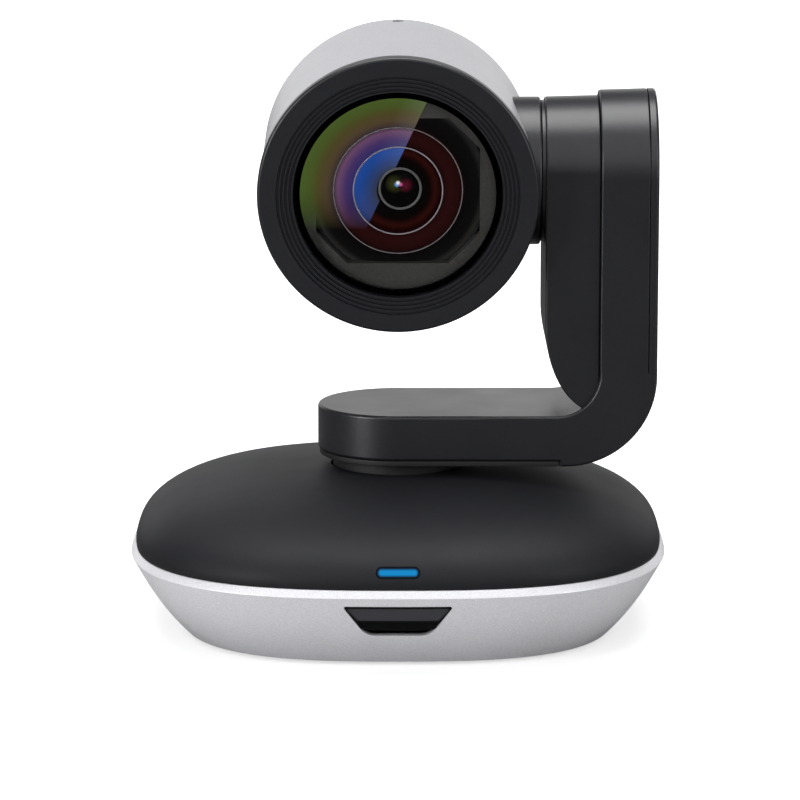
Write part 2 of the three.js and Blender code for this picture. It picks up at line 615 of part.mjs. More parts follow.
function arcPoints(r, y, radius, from, to, steps) {
  const points = [];
  for (let i = 0; i <= steps; i += 1) {
    const turn = from + (to - from) * i / steps;
    points.push([r + radius * Math.cos(turn), y + radius * Math.sin(turn)]);
  }
  return points;
}

const backCentre = head.radius - head.backRound;
const headBack = head.back + head.backRound;

function buildHeadShell() {
  const inner = head.radius - head.wall;
  const shell = turnedY(closed([
    [inner, -head.seam], [head.radius, -head.seam],
    ...arcPoints(backCentre, head.back, head.backRound, 0, Math.PI / 2, 4),
    [head.capRadius, headBack], [head.capRadius, headBack - head.wall],
    ...arcPoints(backCentre, head.back, head.backRound - head.wall, Math.PI / 2, 0, 4),
  ]));
  const notch = block(
    -head.notchWidth / 2, head.notchWidth / 2, head.back - 3, head.back + 2,
    head.radius - head.notchDepth, head.radius + 3,
  );
  const holes = [-hubScrew.z, hubScrew.z].map((z) => rodX(hubScrew.shaft + TURNED_FIT, 0, z, 20, FAR, 12));
  const shaftHole = rodX(boreRadius(tilt.shaft, TURNED_FIT), 0, 0, 20, FAR);
  add(headGroup, 'head_shell', cut(shell, notch, shaftHole, ...holes), 'silver');
  const capEdge = head.capRadius - TURNED_FIT;
  add(headGroup, 'head_rear_cap', turnedY([
    [0, headBack - head.capThick], [capEdge, headBack - head.capThick],
    [capEdge, headBack - 0.4], [capEdge - 0.4, headBack], [0, headBack],
  ]), 'silver');
}

const stepInner = head.stepOuter - head.steps * head.stepWidth;
const glassFront = -head.bezelFront + head.steps * head.stepDepth + 0.2;
const ledgeY = glassFront - 0.2 + head.pocketDepth;
const bezelBack = -head.seam - TURNED_FIT;
const baffleFront = ledgeY + 1.4 + TURNED_FIT;
const skirtOuter = head.radius - head.wall - TURNED_FIT;

function buildFront() {
  const face = [];
  for (let i = 0; i <= head.steps; i += 1) {
    const r = head.stepOuter - i * head.stepWidth;
    const y = -head.bezelFront + i * head.stepDepth;
    if (i > 0) face.push([r + head.stepWidth, y]);
    face.push([r, y]);
  }
  const lip = stepInner - head.ledge;
  add(headGroup, 'front_bezel', turnedY(closed([
    [bezelRadius, bezelBack], [bezelRadius, -head.bezelFront + head.bezelChamfer],
    [bezelRadius - head.bezelChamfer, -head.bezelFront], ...face,
    [stepInner, ledgeY], [lip, ledgeY], [lip, ledgeY + 1.4], [skirtOuter - head.skirtWall, ledgeY + 1.4],
    [skirtOuter - head.skirtWall, -head.skirtDepth], [skirtOuter, -head.skirtDepth], [skirtOuter, bezelBack],
  ])), 'black');
  add(headGroup, 'front_glass', rodY(
    stepInner - TURNED_FIT, 0, 0, glassFront, glassFront + head.glassThick, 48,
  ), 'glass');
  const { halfX, halfZ, cut: chamfer } = baffle;
  const hole = outline([
    [halfX - chamfer, -halfZ], [halfX, -halfZ + chamfer], [halfX, halfZ - chamfer], [halfX - chamfer, halfZ],
    [-halfX + chamfer, halfZ], [-halfX, halfZ - chamfer], [-halfX, -halfZ + chamfer], [-halfX + chamfer, -halfZ],
  ]);
  const plate = rodY(baffle.radius, 0, 0, baffleFront, baffleFront + baffle.thick, 40);
  add(headGroup, 'light_baffle', cut(plate, plateY(hole, -FAR, 0)), 'black');
}

function buildOptics() {
  const front = baffleFront + baffle.thick + TURNED_FIT;
  const shoulder = -barrel.shoulder;
  const barrelBody = turnedY(closed([
    [barrel.bore, front], [barrel.radius, front], [barrel.radius, shoulder],
    [barrel.rearRadius, shoulder], [barrel.rearRadius, barrel.rear],
    [barrel.rearBore, barrel.rear], [barrel.rearBore, shoulder - 1.5],
    [barrel.bore - 2, shoulder - 1.5], [barrel.bore - 2, shoulder - 2.5], [barrel.bore, shoulder - 2.5],
  ]));
  add(headGroup, 'lens_barrel', barrelBody, 'black');
  const ringFront = front + 0.2;
  const ringBack = ringFront + lens.ringThick;
  const clear = barrel.bore - TURNED_FIT;
  add(headGroup, 'lens_ring', turnedY(ringProfile(lens.ringBore, clear, ringFront, ringBack), 32), 'black');
  const glassEdge = ringBack + TURNED_FIT;
  const glassBack = shoulder - 2.5 - TURNED_FIT;
  add(headGroup, 'front_lens', turnedY([
    [0, ringFront], [lens.ringBore * 0.45, ringFront + 0.3], [lens.ringBore * 0.8, glassEdge - 0.3],
    [lens.ringBore - TURNED_FIT, glassEdge], [lens.radius, glassEdge], [lens.radius, glassBack],
    [13, glassBack], [9, glassBack - 1.6], [0, glassBack - 2.6],
  ], 32), 'glass');

  const rods = [-carriage.rodX, carriage.rodX];
  rods.forEach((x, i) => {
    add(headGroup, `guide_rod_${i + 1}`, rodY(carriage.rod, x, 0, shoulder - 1, barrel.rear, 12), 'steel');
  });
  const rodHoles = rods.map((x) => rodY(boreRadius(carriage.rod, RUNNING, 12), x, 0, -20, 30, 12));
  const mover = (y, thick, bore) => cut(
    turnedY(ringProfile(bore, carriage.radius, y, y + thick), 28), ...rodHoles,
  );
  const disc = (radius, y, thick) => turnedY([
    [0, y - 0.6], [radius * 0.6, y - 0.3], [radius, y + 0.3], [radius, y + thick], [0, y + thick],
  ], 24);
  const { zoomY, zoomThick, lensRadius, lensThick, focusY, focusThick, focusLens } = carriage;
  add(headGroup, 'zoom_carriage', mover(zoomY, zoomThick, lensRadius), 'black');
  add(headGroup, 'zoom_lens', disc(lensRadius - TURNED_FIT, zoomY + 0.8, lensThick), 'glass');
  add(headGroup, 'focus_carriage', mover(focusY, focusThick, focusLens), 'black');
  add(headGroup, 'focus_lens', disc(focusLens - TURNED_FIT, focusY + 0.8, lensThick - 0.8), 'glass');
  const { irisY, irisThick, irisBore } = carriage;
  const irisOuter = barrel.rearBore - TURNED_FIT;
  const iris = turnedY(ringProfile(irisBore, irisOuter, irisY, irisY + irisThick), 28);
  add(headGroup, 'iris', cut(iris, ...rods.map((x) => rodY(1.3, x, 0, -20, 30, 16))), 'black');

  const boardY = barrel.rear + TURNED_FIT;
  const { half, thick, boardHalf, boardThick } = sensor;
  const board = block(-boardHalf, boardHalf, boardY, boardY + boardThick, -boardHalf, boardHalf);
  add(headGroup, 'sensor_board', board, 'board');
  const chipBack = boardY - TURNED_FIT;
  add(headGroup, 'image_sensor', block(-half, half, chipBack - thick, chipBack, -half * 0.75, half * 0.75), 'smoked');
}

function buildTiltHub() {
  const { blockHalf, ringThick } = yoke;
  const ringOuter = head.radius - yoke.ringInset;
  const [blockStart, blockEnd] = [head.radius - yoke.blockInset, head.radius - yoke.blockEndInset];
  const ring = turnedY(ringProfile(barrel.rearRadius + TURNED_FIT + 0.1, ringOuter, -ringThick / 2, ringThick / 2));
  const lug = common(
    block(blockStart, blockEnd, -blockHalf, blockHalf, -blockHalf, blockHalf),
    rodY(ringOuter, 0, 0, -30, 30, 48),
  );
  const shaftHole = rodX(boreRadius(tilt.shaft, TURNED_FIT), 0, 0, shaftStart - TURNED_FIT, FAR);
  const screwZ = [-hubScrew.z, hubScrew.z];
  const screwHoles = screwZ.map((z) => rodX(hubScrew.shaft + TURNED_FIT, 0, z, blockStart - 1, FAR, 12));
  const bearingFree = rodY(barrel.rearRadius + TURNED_FIT + 0.1, 0, 0, -20, 20, 48);
  const bigEnd = rodY(barrel.radius + TURNED_FIT, 0, 0, -30, -barrel.shoulder + TURNED_FIT, 48);
  const frame = cut(join(ring, lug), shaftHole, bearingFree, bigEnd, ...screwHoles);
  add(headGroup, 'head_chassis', frame, 'steel');

  const onBarrel = rodY(head.radius + TURNED_FIT, 0, 0, -FAR, FAR, 48);
  const counterbores = screwZ.map((z) => rodX(
    hubScrew.head + TURNED_FIT, 0, z, hubEnd - hubScrew.headDepth, FAR, 16,
  ));
  const hub = cut(
    turnedX([
      [0, blockStart], [tilt.hub, blockStart], [tilt.hub, hubEnd - 0.4], [tilt.hub - 0.4, hubEnd], [0, hubEnd],
    ], 36),
    onBarrel, ...counterbores, ...screwHoles, shaftHole,
  );
  add(headGroup, 'tilt_hub', hub, 'black');
  screwZ.forEach((z, i) => {
    const seat = hubEnd - hubScrew.headDepth + TURNED_FIT;
    add(headGroup, `hub_screw_${i + 1}`, join(
      rodX(hubScrew.head, 0, z, seat, seat + 1.2, 16),
      rodX(hubScrew.shaft, 0, z, hubEnd - hubScrew.reach, seat + 0.5, 12),
    ), 'steel');
  });

  const tailStart = armX - 0.6;
  add(headGroup, 'tilt_shaft', turnedX([
    [0, shaftStart], [tilt.shaft, shaftStart], [tilt.shaft, tailStart], [tilt.tail, tailStart],
    [tilt.tail, tailEnd], [0, tailEnd],
  ]), 'steel');
  const pulley = turnedX(pulleyProfile(tilt.pulley, 0.5, pulleyStart - 0.01));
  const tailBore = rodX(boreRadius(tilt.tail, TURNED_FIT), 0, 0, 0, FAR);
  add(headGroup, 'tilt_pulley', cut(pulley, tailBore), 'nylon');
}

buildBaseShells();
buildBaseTrim();
buildBaseInside();
buildSockets();
buildPanDrive();
buildArm();
buildBelt();
buildHeadShell();
buildFront();
buildOptics();
buildTiltHub();

export default camera;
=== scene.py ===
import json
import math

import bmesh
import bpy
from mathutils import Matrix, Vector
from mathutils.geometry import interpolate_bezier


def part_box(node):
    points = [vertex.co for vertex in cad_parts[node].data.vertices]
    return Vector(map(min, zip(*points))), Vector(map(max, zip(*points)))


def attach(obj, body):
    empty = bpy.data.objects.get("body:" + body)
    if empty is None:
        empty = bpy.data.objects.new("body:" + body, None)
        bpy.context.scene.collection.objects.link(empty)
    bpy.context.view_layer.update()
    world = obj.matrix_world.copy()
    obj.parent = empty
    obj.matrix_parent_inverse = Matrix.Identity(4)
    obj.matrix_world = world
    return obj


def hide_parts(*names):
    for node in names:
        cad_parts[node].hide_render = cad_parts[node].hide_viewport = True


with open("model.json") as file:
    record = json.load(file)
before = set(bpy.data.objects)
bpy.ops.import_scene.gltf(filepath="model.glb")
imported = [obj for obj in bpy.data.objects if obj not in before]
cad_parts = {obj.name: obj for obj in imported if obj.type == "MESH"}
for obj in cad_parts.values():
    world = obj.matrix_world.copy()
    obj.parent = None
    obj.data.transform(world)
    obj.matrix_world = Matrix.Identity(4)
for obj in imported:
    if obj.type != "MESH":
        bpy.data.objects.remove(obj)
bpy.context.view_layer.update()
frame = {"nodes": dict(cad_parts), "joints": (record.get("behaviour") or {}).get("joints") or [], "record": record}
record = frame["record"]
MM = 0.001

# ---- Camera, floor and lamps -------------------------------------------------------------------
# The camera looks slightly down from a metre in front. The floor is a pale sheet that keeps the
# shadow, and the room round it is white wherever the eye or a reflection meets it.
camera_data = bpy.data.cameras.new("camera")
camera_data.lens = 185.85
camera_data.shift_x = 0.0025
camera_data.clip_start = 0.05
camera_data.clip_end = 50
camera = bpy.data.objects.new("camera", camera_data)
camera.location = (0, -1.0, 0.242)
camera.rotation_euler = (math.pi / 2 - 0.186, 0, 0)
bpy.context.scene.collection.objects.link(camera)
bpy.context.scene.camera = camera

bpy.context.scene.view_settings.view_transform = "Standard"


def node_tree(name):
    """A new material with an empty tree, its output, and a short way to add nodes."""
    material = bpy.data.materials.new(name)
    material.use_nodes = True
    nodes = material.node_tree.nodes
    nodes.clear()
    output = nodes.new("ShaderNodeOutputMaterial")
    return material, nodes, material.node_tree.links, output


floor_bm = bmesh.new()
bmesh.ops.create_grid(floor_bm, x_segments=1, y_segments=1, size=6)
floor_mesh = bpy.data.meshes.new("floor")
floor_bm.to_mesh(floor_mesh)
floor_bm.free()
floor = bpy.data.objects.new("floor", floor_mesh)
bpy.context.scene.collection.objects.link(floor)
floor_material, nodes, links, output = node_tree("floor_paper")
paper = nodes.new("ShaderNodeBsdfDiffuse")
path = nodes.new("ShaderNodeLightPath")
tone = nodes.new("ShaderNodeMix")
tone.data_type = "RGBA"
tone.inputs["A"].default_value = (0.62, 0.62, 0.62, 1)
tone.inputs["B"].default_value = (0.16, 0.16, 0.16, 1)
links.new(path.outputs["Is Glossy Ray"], tone.inputs["Factor"])
links.new(tone.outputs["Result"], paper.inputs["Color"])
glow = nodes.new("ShaderNodeEmission")
where = nodes.new("ShaderNodeTexCoord")
away = nodes.new("ShaderNodeVectorMath")
away.operation = "LENGTH"
fill = nodes.new("ShaderNodeMapRange")
fill.inputs["From Min"].default_value = 0.12
fill.inputs["From Max"].default_value = 0.45
fill.inputs["To Min"].default_value = 0.6
fill.inputs["To Max"].default_value = 1.1
lift = nodes.new("ShaderNodeMath")
lift.operation = "MULTIPLY"
links.new(where.outputs["Object"], away.inputs[0])
links.new(away.outputs["Value"], fill.inputs["Value"])
links.new(fill.outputs[0], lift.inputs[1])
both = nodes.new("ShaderNodeAddShader")
links.new(path.outputs["Is Camera Ray"], lift.inputs[0])
links.new(lift.outputs[0], glow.inputs["Strength"])
links.new(paper.outputs[0], both.inputs[0])
links.new(glow.outputs[0], both.inputs[1])
links.new(both.outputs[0], output.inputs["Surface"])
floor_mesh.materials.append(floor_material)

world = bpy.data.worlds.new("studio")
bpy.context.scene.world = world
world.use_nodes = True
nodes, links = world.node_tree.nodes, world.node_tree.links
nodes.clear()
output = nodes.new("ShaderNodeOutputWorld")
room = nodes.new("ShaderNodeBackground")
room.inputs["Color"].default_value = (1, 1, 1, 1)
path = nodes.new("ShaderNodeLightPath")
strength = nodes.new("ShaderNodeMapRange")
strength.inputs["To Min"].default_value = 0.16
strength.inputs["To Max"].default_value = 1.0
links.new(path.outputs["Is Camera Ray"], strength.inputs["Value"])
links.new(strength.outputs[0], room.inputs["Strength"])
links.new(room.outputs[0], output.inputs["Surface"])


def soft_box(name, place, target, width, height, power):
    """A rectangular lamp with an even face, aimed at a point."""
    data = bpy.data.lights.new(name, "AREA")
    data.shape = "RECTANGLE"
    data.size, data.size_y = width, height
    data.energy = power
    lamp = bpy.data.objects.new(name, data)
    lamp.location = place
    lamp.rotation_euler = (Vector(target) - Vector(place)).to_track_quat("-Z", "Y").to_euler()
    bpy.context.scene.collection.objects.link(lamp)


middle = (0, 0, 0.07)
soft_box("lamp_top", (0, 0.05, 0.95), middle, 0.9, 0.6, 9)
soft_box("lamp_left", (-0.95, -0.75, 0.3), middle, 0.4, 0.6, 7.5)
soft_box("lamp_right", (1.0, -0.6, 0.45), middle, 0.5, 0.8, 4.0)
soft_box("lamp_front", (0, -1.7, 1.3), middle, 2.4, 1.7, 11)
soft_box("lamp_back", (0, 1.6, 0.42), middle, 2.6, 0.7, 5.5)

# ---- Paints and plastics -----------------------------------------------------------------------
# Silver: fine metal flake in a satin coat. Black: spark-eroded moulded plastic with a soft sheen.
# Both read their grain from the piece's own place, in millimetre-fine noise.


def grained(name, light, dark, rough, metal=0.0, grain=2500.0, bump=0.0003, spread=0.06, specular=0.5):
    """A paint, plastic or metal whose colour, gloss and surface vary with a fine grain."""
    material, nodes, links, output = node_tree(name)
    shader = nodes.new("ShaderNodeBsdfPrincipled")
    shader.inputs["Metallic"].default_value = metal
    shader.inputs["Specular IOR Level"].default_value = specular
    place = nodes.new("ShaderNodeTexCoord")
    fine = nodes.new("ShaderNodeTexNoise")
    fine.inputs["Scale"].default_value = grain
    fine.inputs["Detail"].default_value = 2
    broad = nodes.new("ShaderNodeTexNoise")
    broad.inputs["Scale"].default_value = grain / 40
    colours = nodes.new("ShaderNodeValToRGB")
    colours.color_ramp.elements[0].position = 0.3
    colours.color_ramp.elements[0].color = (*dark, 1)
    colours.color_ramp.elements[1].position = 0.7
    colours.color_ramp.elements[1].color = (*light, 1)
    gloss = nodes.new("ShaderNodeMapRange")
    gloss.inputs["To Min"].default_value = rough - spread
    gloss.inputs["To Max"].default_value = rough + spread
    relief = nodes.new("ShaderNodeBump")
    relief.inputs["Distance"].default_value = bump
    relief.inputs["Strength"].default_value = 0.5
    for noise in (fine, broad):
        links.new(place.outputs["Object"], noise.inputs["Vector"])
    links.new(fine.outputs["Fac"], colours.inputs["Fac"])
    links.new(broad.outputs["Fac"], gloss.inputs["Value"])
    links.new(fine.outputs["Fac"], relief.inputs["Height"])
    links.new(colours.outputs["Color"], shader.inputs["Base Color"])
    links.new(gloss.outputs[0], shader.inputs["Roughness"])
    links.new(relief.outputs[0], shader.inputs["Normal"])
    links.new(shader.outputs[0], output.inputs["Surface"])
    return material


silver = grained(
    "silver_paint", (0.5, 0.5, 0.525), (0.385, 0.385, 0.405),
    0.42, metal=0.3, grain=3600.0, bump=0.00003,
)
satin_black = grained(
    "satin_black", (0.0086, 0.0091, 0.0129), (0.0056, 0.006, 0.0087),
    0.36, bump=0.00003, specular=0.66,
)
dull_black = grained("dull_black", (0.009, 0.009, 0.0095), (0.005, 0.005, 0.0055), 0.6, bump=0.00004)

# ---- Base tray ---------------------------------------------------------------------------------
# The silver lower shell: a moulded bowl, nearly square with full corners, painted with metal
# flake. A bright bevel runs round its rim, and it is screwed to the cover from below.
SQUARENESS = 2.75
RIM = 18.9 * MM
FLOOR_INSET = 12 * MM
WALL = 2.2 * MM
tray_low, tray_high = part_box("base_tray")
cover_low, cover_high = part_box("base_cover")
cover_foot = tray_high.z + 0.1 * MM
HALF = tray_high.x
DEPTH_SHARE = tray_high.y / tray_high.x


def spun(profile, axis, steps=128, ring=False):
    """Turns a profile of (radius, place along the axis) into a full round solid."""
    bm = bmesh.new()
    seats = {"X": lambda r, t: (t, r, 0), "Y": lambda r, t: (r, t, 0), "Z": lambda r, t: (r, 0, t)}
    verts = [bm.verts.new(seats[axis](r, t)) for r, t in profile]
    edges = [bm.edges.new(pair) for pair in zip(verts, verts[1:])]
    if ring:
        edges.append(bm.edges.new((verts[-1], verts[0])))
    turn = {"X": (1, 0, 0), "Y": (0, 1, 0), "Z": (0, 0, 1)}[axis]
    bmesh.ops.spin(
        bm, geom=verts + edges, cent=(0, 0, 0), axis=turn, dvec=(0, 0, 0),
        angle=math.tau, steps=steps, use_merge=True, use_duplicate=False,
    )
    bmesh.ops.remove_doubles(bm, verts=bm.verts, dist=1e-7)
    bmesh.ops.recalc_face_normals(bm, faces=bm.faces)
    return bm


def arc(centre_r, centre_t, radius, start, stop, steps=8):
    """Points of an arc in a profile, with its angles in degrees."""
    turns = [math.radians(start + (stop - start) * i / steps) for i in range(steps + 1)]
    return [(centre_r + radius * math.cos(a), centre_t + radius * math.sin(a)) for a in turns]


def squared(bm):
    """Pushes a round form about Z out into the base's rounded square."""
    for v in bm.verts:
        r = math.hypot(v.co.x, v.co.y)
        if r < 1e-7:
            continue
        spread = abs(v.co.x / r) ** SQUARENESS + abs(v.co.y / r) ** SQUARENESS
        grow = spread ** (-1 / SQUARENESS)
        v.co.x *= grow
        v.co.y *= grow * DEPTH_SHARE
    return bm


def curve(start, pull_start, pull_end, end, steps=18):
    """Points of a smooth curve in a profile, pulled by two handles."""
    ends = [Vector((r, t)) for r, t in (start, pull_start, pull_end, end)]
    return [tuple(p) for p in interpolate_bezier(*ends, steps + 1)]


def moved_in(points, inward):
    """The same curve moved towards the inside of the shell."""
    found = []
    for i, (r, t) in enumerate(points):
        before = Vector(points[max(i - 1, 0)])
        after = Vector(points[min(i + 1, len(points) - 1)])
        along = (after - before).normalized()
        found.append((r - along.y * inward, t + along.x * inward))
    return found


def solid_box(low, high):
    """A box as a bmesh, from its lowest to its highest corner."""
    bm = bmesh.new()
    low, high = Vector(low), Vector(high)
    bmesh.ops.create_cube(bm, size=1)
    bmesh.ops.scale(bm, verts=bm.verts, vec=high - low)
    bmesh.ops.translate(bm, verts=bm.verts, vec=(low + high) / 2)
    return bm


def prism(outline, axis, start, stop, rounding=0.0, segments=4):
    """An outline extruded along an axis; both rims can be rounded."""
    bm = bmesh.new()
    seats = {"X": lambda a, b: (start, a, b), "Y": lambda a, b: (a, start, b), "Z": lambda a, b: (a, b, start)}
    step = {"X": (1, 0, 0), "Y": (0, 1, 0), "Z": (0, 0, 1)}[axis]
    face = bm.faces.new([bm.verts.new(seats[axis](a, b)) for a, b in outline])
    made = bmesh.ops.extrude_face_region(bm, geom=[face])
    far = [g for g in made["geom"] if isinstance(g, bmesh.types.BMVert)]
    bmesh.ops.translate(bm, verts=far, vec=Vector(step) * (stop - start))
    bmesh.ops.recalc_face_normals(bm, faces=bm.faces)
    if rounding:
        caps = [f for f in bm.faces if abs(f.normal.dot(Vector(step))) > 0.99 and len(f.verts) == len(outline)]
        rims = list({e for f in caps for e in f.edges})
        bmesh.ops.bevel(
            bm, geom=rims, offset=rounding, offset_type="OFFSET", segments=segments, profile=0.5,
            affect="EDGES", material=-1, clamp_overlap=True,
        )
    return bm


def carved(body, tools, operation="DIFFERENCE"):
    """Cuts, joins or keeps the common part of solids, and gives one clean bmesh."""

    def held(bm, name):
        mesh = bpy.data.meshes.new(name)
        bm.to_mesh(mesh)
        bm.free()
        thing = bpy.data.objects.new(name, mesh)
        bpy.context.scene.collection.objects.link(thing)
        return thing

    work = held(body, "work")
    for tool in tools:
        cutter = held(tool, "cutter")
        modifier = work.modifiers.new("carve", "BOOLEAN")
        modifier.operation = operation
        modifier.solver = "EXACT"
        modifier.object = cutter
        bpy.context.view_layer.update()
        seen = work.evaluated_get(bpy.context.evaluated_depsgraph_get())
        mesh = bpy.data.meshes.new_from_object(seen)
        work.modifiers.clear()
        work.data = mesh
        bpy.data.objects.remove(cutter)
    result = bmesh.new()
    result.from_mesh(work.data)
    bpy.data.objects.remove(work)
    return result


def finished(name, bm, body, slot, material, *nodes, sharp=32):
    """Makes the finished piece: shaded smooth between its sharp edges, riding on its body."""
    for edge in bm.edges:
        edge.smooth = edge.calc_face_angle(0) < math.radians(sharp)
    for face in bm.faces:
        face.smooth = True
    mesh = bpy.data.meshes.new(name)
    bm.to_mesh(mesh)
    bm.free()
    mesh.materials.append(material)
    made = bpy.data.objects.new(name, mesh)
    bpy.context.scene.collection.objects.link(made)
    evened = made.modifiers.new("even_shading", "WEIGHTED_NORMAL")
    evened.keep_sharp = True
    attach(made, body)
    if nodes:
        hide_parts(*nodes)
    return made


tray_side = curve(
    (HALF - FLOOR_INSET, tray_low.z + 0.6 * MM), (HALF - FLOOR_INSET + 0.7 * MM, tray_low.z + 1.5 * MM),
    (HALF - 6.35 * MM, 6.55 * MM), (HALF, RIM),
)
BEVEL_TOP = tray_high.z
BEVEL_IN = 1.1 * MM


def bowl(inward, top):
    """The tray's outer skin moved inward, filled up to a height."""
    side = [p for p in moved_in(tray_side, inward) if p[1] > tray_low.z + inward + 0.05 * MM or inward == 0]
    if inward:
        side = [(side[0][0] - 0.8 * MM, tray_low.z + inward), *side]
    return squared(spun([(0, side[0][1]), *side, (side[-1][0], top), (0, top)], "Z"))


tray_outer = [
    (0, tray_low.z), (HALF - FLOOR_INSET - 0.6 * MM, tray_low.z), *tray_side, (HALF - 0.12 * MM, RIM + 0.35 * MM),
    (HALF - BEVEL_IN + 0.15 * MM, BEVEL_TOP - 0.25 * MM), (HALF - BEVEL_IN - 0.1 * MM, BEVEL_TOP),
]
inner_wall = [p for p in reversed(moved_in(tray_side, WALL)) if p[1] > tray_low.z + WALL + 0.05 * MM]
tray_inner = [(inner_wall[0][0], BEVEL_TOP), *inner_wall, (inner_wall[-1][0] - 0.8 * MM, tray_low.z + WALL)]
tray = squared(spun([*tray_outer, *tray_inner, (0, tray_low.z + WALL)], "Z", steps=160))

window_low, window_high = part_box("ir_window")


def window_outline(grow):
    """The receiver window seen from the front: wide above, narrow below, with soft lower corners."""
    top, bottom = window_high.z + 0.1 * MM + grow, window_low.z - 1.1 * MM - grow
    half_top = window_high.x + 0.1 * MM + grow
    half_bottom = 6.6 * MM + grow * 0.5
    side = [(half_top - 0.35 * MM, top), (half_top, top - 0.5 * MM)]
    knee = (half_bottom + 2.6 * MM, bottom + 2.4 * MM)
    corner = curve(knee, (half_bottom + 1.4 * MM, bottom + 0.5 * MM), (half_bottom, bottom),
                   (half_bottom - 1.2 * MM, bottom), 8)
    right = [*side, *corner]
    return [*right, *[(-x, z) for x, z in reversed(right)]]


sockets = []
for node, grow in (("dc_jack", 0.3), ("usb_socket", 0.3)):
    low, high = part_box(node)
    sockets.append(solid_box(
        (low.x - grow * MM, 0.045, low.z - grow * MM), (high.x + grow * MM, 0.08, high.z + grow * MM),
    ))
lock_slot = solid_box((27.5 * MM, 0.045, 12.5 * MM), (34.5 * MM, 0.08, 15.5 * MM))
foot_holes, screw_holes = [], []
for i in range(4):
    low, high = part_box(f"foot_pad_{i + 1}")
    centre = (low + high) / 2
    hole = spun([(0, -1 * MM), (5.1 * MM, -1 * MM), (5.1 * MM, 1.6 * MM), (0, 1.6 * MM)], "Z", 48)
    bmesh.ops.translate(hole, verts=hole.verts, vec=(centre.x, centre.y, 0))
    foot_holes.append(hole)
    low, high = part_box(f"base_screw_{i + 1}")
    centre = (low + high) / 2
    hole = spun([(0, -1 * MM), (2.9 * MM, -1 * MM), (2.9 * MM, 6 * MM), (0, 6 * MM)], "Z", 32)
    bmesh.ops.translate(hole, verts=hole.verts, vec=(centre.x, centre.y, 0))
    screw_holes.append(hole)
insert_hole = spun([(0, -1 * MM), (6.1 * MM, -1 * MM), (6.1 * MM, 6 * MM), (0, 6 * MM)], "Z", 48)
recess = prism(window_outline(0), "Y", -0.08, -0.05)
tray = carved(tray, [recess, *sockets, lock_slot, insert_hole, *foot_holes, *screw_holes])
# Painted light: a lighter copy of the silver paint for the tray alone, brightening it where the lamps leave it too dim;
# the barrel keeps the darker silver.
tray_silver_painted_lighter = grained(
    "tray_silver_painted_lighter", (0.87, 0.87, 0.905), (0.70, 0.70, 0.73),
    0.42, metal=0.3, grain=3600.0, bump=0.00003,
)
finished("base_tray_shell", tray, "base", "silver", tray_silver_painted_lighter, "base_tray")

# ---- Base cover --------------------------------------------------------------------------------
# The domed black upper shell, moulded in satin plastic, with a round opening for the turning neck
# and a small round-ended slot for the indicator light.
cover_black = grained(
    "cover_black", (0.0094, 0.0098, 0.0132), (0.0062, 0.0065, 0.009),
    0.6, bump=0.00003, specular=0.3,
)
rise = 18.05 * MM
cover_top = cover_foot + rise
cover_start = HALF - 1.3 * MM
roof = curve(
    (cover_start, cover_foot), (cover_start + 0.6 * MM, cover_foot + 1 * MM),
    (cover_start + 3.2 * MM, cover_top), (0, cover_top), 28,
)


def dome(inward):
    """The cover's outer skin moved inward, filled down to its foot."""
    side = [p for p in moved_in(roof, inward) if p[0] > 0.3 * MM]
    return squared(spun([(0, cover_foot), *side, (0, cover_top - inward)], "Z", steps=160))


shell = dome(0)
hollow = dome(2 * MM)
bmesh.ops.translate(hollow, verts=hollow.verts, vec=(0, 0, -0.01 * MM))
neck_low, neck_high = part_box("turntable")
opening = neck_high.x + 0.6 * MM
neck_hole = spun([(0, 0.02), (opening, 0.02), (opening, 0.06), (0, 0.06)], "Z", 96)
led_low, led_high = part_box("led_lens")
led_z = (led_low.z + led_high.z) / 2
led_half = (led_high.x - led_low.x) / 2


def stadium(half_width, half_height, z):
    """A round-ended slot seen from the front."""
    run = half_width - half_height
    return [*arc(run, z, half_height, -90, 90, 12), *arc(-run, z, half_height, 90, 270, 12)]


led_half_height = (led_high.z - led_low.z) / 2
slot = prism(stadium(led_half + 0.1 * MM, led_half_height + 0.1 * MM, led_z), "Y", -0.08, -0.055)
cover = carved(shell, [hollow, neck_hole, slot])
finished("base_cover_shell", cover, "base", "black", cover_black, "base_cover")

# ---- Indicator light ---------------------------------------------------------------------------
# A clear blue light guide pressed into the slot, dark at its edge and lit from behind in the middle.
light_material, nodes, links, output = node_tree("blue_light_guide")
shader = nodes.new("ShaderNodeBsdfPrincipled")
shader.inputs["Roughness"].default_value = 0.4
shader.inputs["Specular IOR Level"].default_value = 0.1
place = nodes.new("ShaderNodeTexCoord")
parts = nodes.new("ShaderNodeSeparateXYZ")
links.new(place.outputs["Object"], parts.inputs[0])


def maths(operation, first, second=0.0, third=0.0, clamp=False):
    """A Math node on values or sockets of the tree that is being made."""
    node = nodes.new("ShaderNodeMath")
    node.operation = operation
    node.use_clamp = clamp
    for i, value in enumerate((first, second, third)):
        if isinstance(value, (int, float)):
            node.inputs[i].default_value = value
        else:
            links.new(value, node.inputs[i])
    return node.outputs[0]


past = maths("SUBTRACT", maths("ABSOLUTE", parts.outputs["X"]), led_half - led_half_height)
past = maths("MAXIMUM", past, 0.0)
off = maths("SUBTRACT", parts.outputs["Z"], led_z)
reach = maths("SQRT", maths("ADD", maths("MULTIPLY", past, past), maths("MULTIPLY", off, off)))
glow_ramp = nodes.new("ShaderNodeValToRGB")
glow_ramp.color_ramp.elements[0].position = 0.3
glow_ramp.color_ramp.elements[0].color = (0.0015, 0.24, 0.58, 1)
glow_ramp.color_ramp.elements[1].position = 0.74
glow_ramp.color_ramp.elements[1].color = (0.001, 0.003, 0.008, 1)
links.new(maths("DIVIDE", reach, led_half_height), glow_ramp.inputs["Fac"])
shader.inputs["Base Color"].default_value = (0.001, 0.002, 0.004, 1)
links.new(glow_ramp.outputs["Color"], shader.inputs["Emission Color"])
shader.inputs["Emission Strength"].default_value = 1.0
